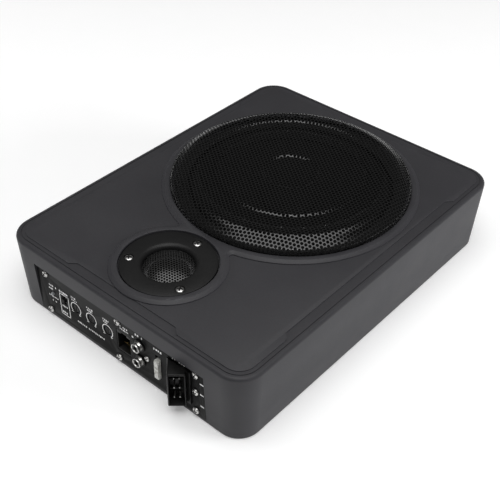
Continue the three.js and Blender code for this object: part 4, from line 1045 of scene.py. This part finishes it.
def build_plate():
    """The control panel's plate, with an opening for each part on it."""
    size = bpy.context.scene.panel_sizes
    holes = [(node, 1.6) for node in (*numbered("panel_screw", 7), "phono_screw")]
    holes += [(knob, 4.2) for knob in KNOBS] + [("power_led", 1.9)] + [(sleeve, 5.65) for sleeve in SLEEVES]

    def round_holes(mesh):
        for node, radius in holes:
            spot = centre(node)
            add_turned(mesh, [(0, -6), (radius, -6), (radius, 6), (0, 6)], outward(spot.x, spot.z), 40)

    def opening(node, side, below, above, foot=None):
        """The opening's corners: the node's box, made wider by side and taller by below and above."""
        low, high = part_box(node)
        foot = low.z if foot is None else foot
        return (low.x - side, CUT_FRONT, foot - below), (high.x + side, CUT_BACK, high.z + above)

    slide = 2.4 * MM + GAP
    plate = make("panel_plate", blocks((PLATE_LOW, PLATE_HIGH)))
    combine(plate, round_holes, blocks(
        opening("slide_switch_lever", GAP, slide, slide),
        opening("remote_socket", GAP, GAP, GAP, REMOTE_FOOT),
        opening("fuse", GAP, GAP, 4 * MM),
        opening("power_socket", GAP - POWER_NECK, -1.1 * MM, -1.1 * MM),
    ))
    round_edges(plate, size.plate_bevel)
    finish_piece(plate, "plate", ["control_panel"], sharp=35)


def build_print():
    """The white print on the plate: dial arcs, frames, and rows of plain marks in place of words."""
    size = bpy.context.scene.panel_sizes
    line = size.line_width
    front, back = PLATE_FRONT - size.print_height, PLATE_FRONT + 0.02 * MM
    chance = random.Random(7)

    def bar(mesh, x0, x1, z0, z1):
        add_block(mesh, (x0, front, z0), (x1, back, z1))

    def words(mesh, x, z, wide, height):
        """A row of marks centred on x; z and the sizes in millimetres."""
        z, wide, height = z * MM, wide * MM, height * MM
        step = height * 1.15
        spot = x - wide / 2
        while spot < x + wide / 2 - step * 0.5:
            if chance.random() < 0.86:
                stroke = chance.choice((0.5, 0.66, 0.8)) * height
                lift = chance.choice((0, 0, 0.18)) * height
                bar(mesh, spot, spot + stroke, z - height / 2 + lift, z + height / 2)
            spot += step

    def arc(mesh, x, z, radius, half, width, steps=36):
        """A printed arc that reaches half its angle to each side of straight up."""
        rings = []
        for i in range(steps + 1):
            angle = math.pi / 2 - half + 2 * half * i / steps
            rings.append([
                Vector((x + reach * math.cos(angle), y, z + reach * math.sin(angle)))
                for reach, y in (
                    (radius - width / 2, front), (radius + width / 2, front),
                    (radius + width / 2, back), (radius - width / 2, back),
                )
            ])
        add_loft(mesh, rings)

    def marks(mesh):
        half = size.dial_sweep / 2
        for knob in KNOBS:
            spot = centre(knob)
            arc(mesh, spot.x, spot.z, size.dial_radius, half, line)
            for rise, wide, height in ((10.6, 8.0, 1.7), (8.0, 7.2, 1.6)):
                words(mesh, spot.x - 0.6 * MM, spot.z / MM + rise, wide, height)
            ends = [spot.x + side * (size.dial_radius + 0.2 * MM) * math.sin(half) for side in (-1, 1)]
            for foot in ends:
                bar(mesh, foot - 1.1 * MM, foot + 1.1 * MM, spot.z - 5.5 * MM, spot.z - 4.9 * MM)
            bar(mesh, ends[1] - 0.3 * MM, ends[1] + 0.3 * MM, spot.z - 6.3 * MM, spot.z - 4.1 * MM)
        switch, lamp, remote = (centre(node).x for node in ("slide_switch_lever", "power_led", "remote_socket"))
        left, right = switch - 6.0 * MM, switch + 5.6 * MM
        low, high = 11.6 * MM, 34.6 * MM
        bar(mesh, left, left + line, low, high)
        bar(mesh, right - line, right, low, high)
        bar(mesh, left, right, low, low + line)
        bar(mesh, left, right, high - line, high)
        for middle, aside, *row in (
            (switch, -0.4, 36.7, 10.8, 2.0), (switch, 0, 21.7, 7.2, 1.6), (switch, -0.5, 14.6, 7.6, 2.0),
            (lamp, 0.9, 36.3, 10, 1.7), (lamp, 0, 32.6, 9.6, 1.7), (lamp, 0.2, 24.5, 12, 1.5),
            (lamp, 0.4, 19.9, 5, 1.6), (0, -33.5, 15, 35.4, 1.7), (remote, 1.2, 44.2, 9.4, 1.6),
            (remote, 1.8, 41.6, 10.4, 1.5), (0, 24.5, 46.3, 10, 2.0), (0, 43.9, 44.7, 8.2, 2.0),
            (0, 67, 48.7, 14.6, 2.0),
        ):
            words(mesh, middle + aside * MM, *row)
        arc(mesh, 16.6 * MM, 41.5 * MM, 0.6 * MM, math.pi * 0.98, 0.8 * MM, 16)
        for height in (40.2, 28.8, 16.2):
            bar(mesh, 88 * MM, 91.6 * MM, (height - 0.6) * MM, (height + 0.6) * MM)

    finish_piece(make("panel_print", marks), "ink", [], sharp=30)


def build_controls():
    """The three knobs, the slide switch's lever and the power lamp."""
    size = bpy.context.scene.panel_sizes
    radius = 3.5
    for knob in KNOBS:
        spot = centre(knob)
        low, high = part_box(knob)
        deep = (high.y - low.y) / MM
        piece = make(knob + "_dial", turned([
            (0, -deep), (radius, -deep), (radius, -0.5), (3.38, -0.18), (3.1, 0), (2.5, 0), (2.35, -0.3), (0, -0.3),
        ], [outward(spot.x, spot.z, low.y)], 56))
        ribs = [
            outward(spot.x + radius * MM * math.cos(angle), spot.z + radius * MM * math.sin(angle), low.y)
            for angle in (math.tau * i / 18 for i in range(18))
        ]
        combine(piece, turned([(0, -4), (0.22, -4), (0.22, 1), (0, 1)], ribs, 8), blocks((
            (spot.x - 0.45 * MM, low.y - 2 * MM, spot.z - 2.3 * MM),
            (spot.x + 0.45 * MM, low.y + 1.2 * MM, spot.z + 2.3 * MM),
        )))
        finish_piece(piece, "knob", [knob], knob, sharp=30)

    low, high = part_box("slide_switch_lever")
    piece = make("switch_grip", blocks((low, high)))
    round_edges(piece, size.part_bevel, 3)
    levels = [low.z + (high.z - low.z) * (i + 0.5) / 4 for i in range(4)]
    combine(piece, blocks(*(
        ((low.x - MM, low.y - MM, z - 0.12 * MM), (high.x + MM, low.y + 0.3 * MM, z + 0.12 * MM)) for z in levels
    )))
    finish_piece(piece, "knob", ["slide_switch_lever"], "switch_lever")

    low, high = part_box("power_led")
    lamp = centre("power_led")
    deep = (high.y - low.y) / MM
    dome = [(1.5 * math.sin(angle), -1.5 * (1 - math.cos(angle))) for angle in quarter(8)]
    bulb = turned([*dome, (1.5, -deep), (0, -deep)], [outward(lamp.x, lamp.z, low.y)], 32)
    finish_piece(make("lamp", bulb), "lens", ["power_led"], sharp=40)


# ---- Sockets ----
def build_remote_socket():
    """The modular socket for a remote level control, with its contact wires."""
    size = bpy.context.scene.panel_sizes
    low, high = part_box("remote_socket")
    foot, middle = REMOTE_FOOT, (low.x + high.x) / 2
    piece = make("remote_jack", blocks(((low.x, low.y, foot), high)))
    unite(piece, blocks((
        (low.x + 0.5 * MM, low.y + 2 * MM, low.z), (high.x - 0.5 * MM, high.y - 1 * MM, foot + 2 * MM),
    )))
    combine(
        piece,
        blocks((
            (low.x + 0.8 * MM, low.y - 5 * MM, foot + 1.2 * MM),
            (high.x - 0.8 * MM, low.y + 13 * MM, high.z - 3.2 * MM),
        )),
        blocks((
            (middle - 3.2 * MM, low.y - 6 * MM, foot + 3 * MM),
            (middle + 3.2 * MM, low.y + 12.9 * MM, high.z - 1.4 * MM),
        )),
    )
    round_edges(piece, size.part_bevel)
    finish_piece(piece, "socket", ["remote_socket"])

    def wires(mesh):
        for i in range(6):
            x = middle + (i - 2.5) * 1.25 * MM
            path = [
                Vector((x, low.y + (12.4 - 9.4 * t) * MM, foot + (2.2 + 5.6 * t * t * (1.7 - 0.7 * t)) * MM))
                for t in (k / 10 for k in range(11))
            ]
            add_tube(mesh, path, 0.26 * MM)

    finish_piece(make("remote_contacts", wires), "gold", [], sharp=40)


def build_phono():
    """The pair of phono sockets: a black block with collars, and a plated sleeve on each."""
    low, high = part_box("phono_housing")
    spots = [centre(sleeve) for sleeve in SLEEVES]
    places = [outward(spot.x, spot.z) for spot in spots]
    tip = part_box(SLEEVES[0])[0].y
    reach = (PLATE_FRONT - tip) / MM
    piece = make("phono_block", blocks(((low.x, PLATE_HIGH.y + GAP, low.z), high)))
    round_edges(piece, 0.3 * MM)
    collar = [(4.3, -3), (5.35, -3), (5.35, 0.9), (5.1, 1.2), (4.6, 1.2), (4.3, 0.9)]
    core = [
        (0, -3), (3.05, -3), (3.05, reach - 0.7), (2.8, reach - 0.5), (1.85, reach - 0.5), (1.6, reach - 0.8),
        (1.6, 0), (0, 0),
    ]
    unite(piece, turned(collar, places, 56), turned(core, places, 48))
    finish_piece(piece, "socket", ["phono_housing"])
    for name, sleeve, spot in zip(("upper_phono_sleeve", "lower_phono_sleeve"), SLEEVES, spots):
        deep = (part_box(sleeve)[1].y - tip) / MM
        tube = turned([
            (3.35, -deep), (4.15, -deep), (4.15, -2.6), (4.0, -2.4), (4.0, -2.1), (4.15, -1.9), (4.15, -0.3),
            (4.0, -0.06), (3.8, 0), (3.55, -0.05), (3.35, -0.3),
        ], [outward(spot.x, spot.z, tip)], 64)
        finish_piece(make(name, tube), "plated", [sleeve], sharp=40)


def build_fuse():
    """The blade fuse: a clouded housing with its shoulders, and two metal blades."""
    low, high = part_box("fuse")
    middle = (low.x + high.x) / 2
    back = low.y + 12.3 * MM
    shoulder, window = 4.6 * MM, 2 * MM

    def column(half, near, far, *spans):
        """Blocks about the fuse's middle plane, from near to far, one for each span of heights."""
        return blocks(*(((middle - half, near, z0), (middle + half, far, z1)) for z0, z1 in spans))

    piece = make("fuse_housing", blocks((
        (low.x + 0.35 * MM, low.y, low.z + 0.4 * MM), (high.x - 0.35 * MM, back, high.z - 0.4 * MM),
    )))
    unite(piece, column(
        (high.x - low.x) / 2, low.y + 0.8 * MM, back - 0.4 * MM,
        (low.z, low.z + shoulder), (high.z - shoulder, high.z),
    ))
    combine(piece, column(
        1.3 * MM, low.y - 1 * MM, low.y + 0.7 * MM,
        *((z, z + window) for z in (low.z + 6.2 * MM, high.z - 8.2 * MM)),
    ))
    round_edges(piece, 0.35 * MM, 3)
    finish_piece(piece, "fuse", ["fuse"], "fuse")
    metal = make("fuse_blades", column(
        0.4 * MM, back - 1 * MM, high.y, *((z - 2.5 * MM, z + 2.5 * MM) for z in (low.z + 4 * MM, high.z - 4 * MM)),
    ))
    round_edges(metal, 0.15 * MM)
    finish_piece(metal, "plated", ["fuse"], "fuse")


def build_power_socket():
    """The power socket: a shroud turned to one side, with ribs and two columns of pins."""
    size = bpy.context.scene.panel_sizes
    low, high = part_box("power_socket")
    half = 14.3 * MM / 2
    wall = 1.2 * MM
    row_pitch, pin_pitch = 10.2 * MM, 4.2 * MM
    place = Matrix.Translation((73.2 * MM, PLATE_FRONT - 9.75 * MM, 0)) @ Matrix.Rotation(math.radians(42), 4, "Z")
    flange_back = PLATE_FRONT - GAP
    piece = make("power_shroud", blocks(((-half, 0, low.z), (half, 26 * MM, high.z)), place=place))
    round_edges(piece, 1.1 * MM, 4)
    combine(
        piece,
        blocks(((-half + wall, -5 * MM, low.z + wall), (half - wall, 12.5 * MM, high.z - wall)), place=place),
        blocks(((0, flange_back, -0.01), (0.14, flange_back + 0.06, 0.09))),
    )
    unite(piece, blocks(
        ((low.x, flange_back - 1.3 * MM, low.z), (high.x, flange_back, high.z)),
        (
            (low.x + POWER_NECK, flange_back - 0.1 * MM, low.z + 1.4 * MM),
            (high.x - POWER_NECK, high.y, high.z - 1.4 * MM),
        ),
    ))
    round_edges(piece, size.part_bevel * 0.8)
    finish_piece(piece, "socket", ["power_socket"], sharp=35)

    middle = (low.z + high.z) / 2
    back = 11.2 * MM
    inner = half - 1.5 * MM
    levels = [middle + level * row_pitch for level in (-1.5, -0.5, 0.5, 1.5)]
    carrier = make("power_carrier", blocks(
        ((-inner, back - 1.2 * MM, low.z + 1.5 * MM), (inner, back, high.z - 1.5 * MM)),
        *(((-inner, back - 3.5 * MM, z - 0.3 * MM), (inner, back - 1.1 * MM, z + 0.35 * MM)) for z in levels),
        place=place,
    ))
    round_edges(carrier, 0.15 * MM)
    finish_piece(carrier, "socket", [])
    pins = turned([(0, -1), (0.7, -1), (0.7, 6.2), (0.55, 6.7), (0.25, 7), (0, 7.05)], [
        place @ Matrix.Translation((column * pin_pitch, 10 * MM, middle + row * row_pitch))
        @ Matrix.Rotation(math.pi / 2, 4, "X")
        for row in (-1, 0, 1) for column in (-0.5, 0.5)
    ], 20)
    finish_piece(make("power_contacts", pins), "plated", ["power_pins"], sharp=40)


# ---- Pieces inside the cabinet ----
INNER_FINISHES = {
    "basket": ("woofer_basket",),
    "cone": ("cone", "dust_cap"),
    "copper": ("voice_coil", "inductor"),
    "steel": ("top_plate", "t_yoke", "tweeter_magnet", "slide_switch_body"),
    "magnet": ("magnet",),
    "dome": ("tweeter_dome",),
    "pot": ("level_potentiometer", "low_pass_potentiometer", "boost_potentiometer"),
    "socket": ("fuse_holder",),
    "board": ("circuit_board",),
    "heat_sink": ("heat_sink",),
    "capacitor": ("capacitor_1", "capacitor_2"),
}
SOFT_RINGS = {"surround": ("rubber", "rubber", 24), "spider": ("spider", "spider", 16)}


def soft_ring(node, kind, slot, count):
    """A ring cut into sectors, each reaching from the basket, outside, to the cone, inside."""
    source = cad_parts[node]
    middle = centre(node)
    half = math.pi / count
    for i in range(count):
        direction = 2 * half * i
        mesh = bmesh.new()
        mesh.from_mesh(source.data)
        mesh.transform(source.matrix_world)
        for side in (-1, 1):
            angle = direction + side * (half + math.pi / 2)
            bmesh.ops.bisect_plane(
                mesh, geom=mesh.verts[:] + mesh.edges[:] + mesh.faces[:], plane_co=middle,
                plane_no=(math.cos(angle), math.sin(angle), 0), clear_outer=True,
            )
        bmesh.ops.holes_fill(mesh, edges=[edge for edge in mesh.edges if edge.is_boundary])
        piece = as_object(f"{node}_sector_{i + 1}", mesh)
        paint(piece.data, kind, 50)
        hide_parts(node)
        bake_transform(piece)


def finish_inner_pieces():
    """Gives each frame node inside the cabinet its finish."""
    for kind, nodes in INNER_FINISHES.items():
        for node in nodes:
            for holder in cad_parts[node].material_slots:
                holder.material = finish_of(kind)
    for node, look in SOFT_RINGS.items():
        soft_ring(node, *look)


# ---- Studio ----
CAMERA_TARGET = Vector((9.09, -22.94, 34.58)) * MM
FLOOR_HEIGHT = -0.2 * MM


def build_studio():
    """A pale floor, soft lights and the camera."""
    studio = bpy.context.scene.studio_settings
    scene = bpy.context.scene
    mesh = bmesh.new()
    reach = 5.0
    corners = ((-reach, -reach), (reach, -reach), (reach, reach), (-reach, reach))
    mesh.faces.new([mesh.verts.new((x, y, FLOOR_HEIGHT)) for x, y in corners])
    data = bpy.data.meshes.new("floor")
    mesh.to_mesh(data)
    mesh.free()
    data.materials.append(surface(
        "Studio floor", tuple(scene.speaker_colours.floor), 0.7,
        grain=4, bump=0.02, mottle=0.01, wear=0.0, dust=0.0, specular=0.2, glow=0.15,
    ))
    floor = bpy.data.objects.new("floor", data)
    scene.collection.objects.link(floor)

    def softbox(name, place, aim, wide, tall, power, mirrored=True):
        light = bpy.data.lights.new(name, "AREA")
        light.shape = "RECTANGLE"
        light.size = wide
        light.size_y = tall
        light.energy = power
        holder = bpy.data.objects.new(name, light)
        holder.location = place
        holder.rotation_mode = "QUATERNION"
        holder.rotation_quaternion = (Vector(aim) - Vector(place)).to_track_quat("-Z", "Y")
        holder.visible_glossy = mirrored
        scene.collection.objects.link(holder)

    softbox("key_light", (0.45, -0.5, 1.15), (0, 0, 0.05), 0.4, 0.3, studio.key)
    softbox("top_light", (0.15, -0.2, 1.8), (0, 0, 0), 1.8, 1.8, studio.top)
    softbox("side_light", (1.6, 1.0, 0.42), (0, 0, 0.05), 1.0, 0.6, studio.side, False)
    softbox("left_light", (-1.6, -0.8, 0.4), (0, 0, 0.05), 1.2, 0.7, studio.left, False)

    world = bpy.data.worlds.new("Studio surroundings")
    world.use_nodes = True
    world.node_tree.nodes["Background"].inputs["Color"].default_value = (1, 1, 1, 1)
    world.node_tree.nodes["Background"].inputs["Strength"].default_value = studio.sky
    scene.world = world
    scene.view_settings.view_transform = "Standard"

    azimuth, elevation = studio.azimuth, studio.elevation
    back = Vector((
        math.sin(azimuth) * math.cos(elevation), -math.cos(azimuth) * math.cos(elevation), math.sin(elevation),
    ))
    right = Vector((math.cos(azimuth), math.sin(azimuth), 0))
    aimed = Matrix((right, back.cross(right), back)).transposed() @ Matrix.Rotation(studio.roll, 3, "Z")
    camera = bpy.data.cameras.new("camera")
    camera.lens = studio.lens
    camera.sensor_width = 36
    holder = bpy.data.objects.new("camera", camera)
    holder.rotation_mode = "QUATERNION"
    holder.rotation_quaternion = aimed.to_quaternion()
    holder.location = CAMERA_TARGET + back * studio.distance
    scene.collection.objects.link(holder)
    scene.camera = holder


# ---- Operators ----
class SPEAKER_OT_studio(bpy.types.Operator):
    """Add the floor, the lights and the camera."""

    bl_idname = "speaker.studio"
    bl_label = "Studio"

    def execute(self, context):
        build_studio()
        return {"FINISHED"}


class SPEAKER_OT_cabinet(bpy.types.Operator):
    """Build the moulded cabinet."""

    bl_idname = "speaker.cabinet"
    bl_label = "Cabinet"

    def execute(self, context):
        build_cabinet()
        return {"FINISHED"}


class SPEAKER_OT_cover(bpy.types.Operator):
    """Build the bottom cover."""

    bl_idname = "speaker.cover"
    bl_label = "Bottom cover"

    def execute(self, context):
        build_cover()
        return {"FINISHED"}


class SPEAKER_OT_grille(bpy.types.Operator):
    """Build the perforated grille."""

    bl_idname = "speaker.grille"
    bl_label = "Grille"

    def execute(self, context):
        build_grille()
        return {"FINISHED"}


class SPEAKER_OT_tweeter(bpy.types.Operator):
    """Build the tweeter's ring and mesh."""

    bl_idname = "speaker.tweeter"
    bl_label = "Tweeter"

    def execute(self, context):
        build_tweeter()
        return {"FINISHED"}


class SPEAKER_OT_screws(bpy.types.Operator):
    """Build all the screws."""

    bl_idname = "speaker.screws"
    bl_label = "Screws"

    def execute(self, context):
        build_screws()
        return {"FINISHED"}


class SPEAKER_OT_plate(bpy.types.Operator):
    """Build the control panel's plate."""

    bl_idname = "speaker.plate"
    bl_label = "Panel plate"

    def execute(self, context):
        build_plate()
        return {"FINISHED"}


class SPEAKER_OT_print(bpy.types.Operator):
    """Build the marks on the control panel."""

    bl_idname = "speaker.print"
    bl_label = "Panel print"

    def execute(self, context):
        build_print()
        return {"FINISHED"}


class SPEAKER_OT_controls(bpy.types.Operator):
    """Build the knobs, the switch and the lamp."""

    bl_idname = "speaker.controls"
    bl_label = "Controls"

    def execute(self, context):
        build_controls()
        return {"FINISHED"}


class SPEAKER_OT_remote(bpy.types.Operator):
    """Build the remote control's socket."""

    bl_idname = "speaker.remote"
    bl_label = "Remote socket"

    def execute(self, context):
        build_remote_socket()
        return {"FINISHED"}


class SPEAKER_OT_phono(bpy.types.Operator):
    """Build the pair of phono sockets."""

    bl_idname = "speaker.phono"
    bl_label = "Phono sockets"

    def execute(self, context):
        build_phono()
        return {"FINISHED"}


class SPEAKER_OT_fuse(bpy.types.Operator):
    """Build the fuse."""

    bl_idname = "speaker.fuse"
    bl_label = "Fuse"

    def execute(self, context):
        build_fuse()
        return {"FINISHED"}


class SPEAKER_OT_power(bpy.types.Operator):
    """Build the power socket and its pins."""

    bl_idname = "speaker.power"
    bl_label = "Power socket"

    def execute(self, context):
        build_power_socket()
        return {"FINISHED"}


class SPEAKER_OT_inner(bpy.types.Operator):
    """Finish the pieces inside the cabinet."""

    bl_idname = "speaker.inner"
    bl_label = "Inner pieces"

    def execute(self, context):
        finish_inner_pieces()
        return {"FINISHED"}


OPERATORS = (
    SPEAKER_OT_studio,
    SPEAKER_OT_cabinet,
    SPEAKER_OT_cover,
    SPEAKER_OT_grille,
    SPEAKER_OT_tweeter,
    SPEAKER_OT_screws,
    SPEAKER_OT_plate,
    SPEAKER_OT_print,
    SPEAKER_OT_controls,
    SPEAKER_OT_remote,
    SPEAKER_OT_phono,
    SPEAKER_OT_fuse,
    SPEAKER_OT_power,
    SPEAKER_OT_inner,
)


class SPEAKER_PT_pieces(bpy.types.Panel):
    """Lists the pieces of the speaker."""

    bl_label = "Speaker"
    bl_space_type = "VIEW_3D"
    bl_region_type = "UI"
    bl_category = "Speaker"

    def draw(self, context):
        """Lays out the buttons."""
        for kind in OPERATORS:
            self.layout.operator(kind.bl_idname)


GROUPS = {
    "cabinet_sizes": CabinetSizes,
    "speaker_sizes": SpeakerSizes,
    "panel_sizes": PanelSizes,
    "speaker_colours": FinishColours,
    "studio_settings": StudioSettings,
}


def register():
    """Registers the classes and hangs the settings on the scene."""
    for kind in (*GROUPS.values(), *OPERATORS, SPEAKER_PT_pieces):
        bpy.utils.register_class(kind)
    for name, kind in GROUPS.items():
        setattr(bpy.types.Scene, name, PointerProperty(type=kind))


def unregister():
    """Takes the classes and settings away."""
    for name in GROUPS:
        delattr(bpy.types.Scene, name)
    for kind in (*GROUPS.values(), *OPERATORS, SPEAKER_PT_pieces):
        bpy.utils.unregister_class(kind)


def main():
    """Builds the speaker."""
    register()
    for kind in OPERATORS:
        getattr(bpy.ops.speaker, kind.bl_idname.split(".")[1])()


if __name__ == "__main__":
    main()
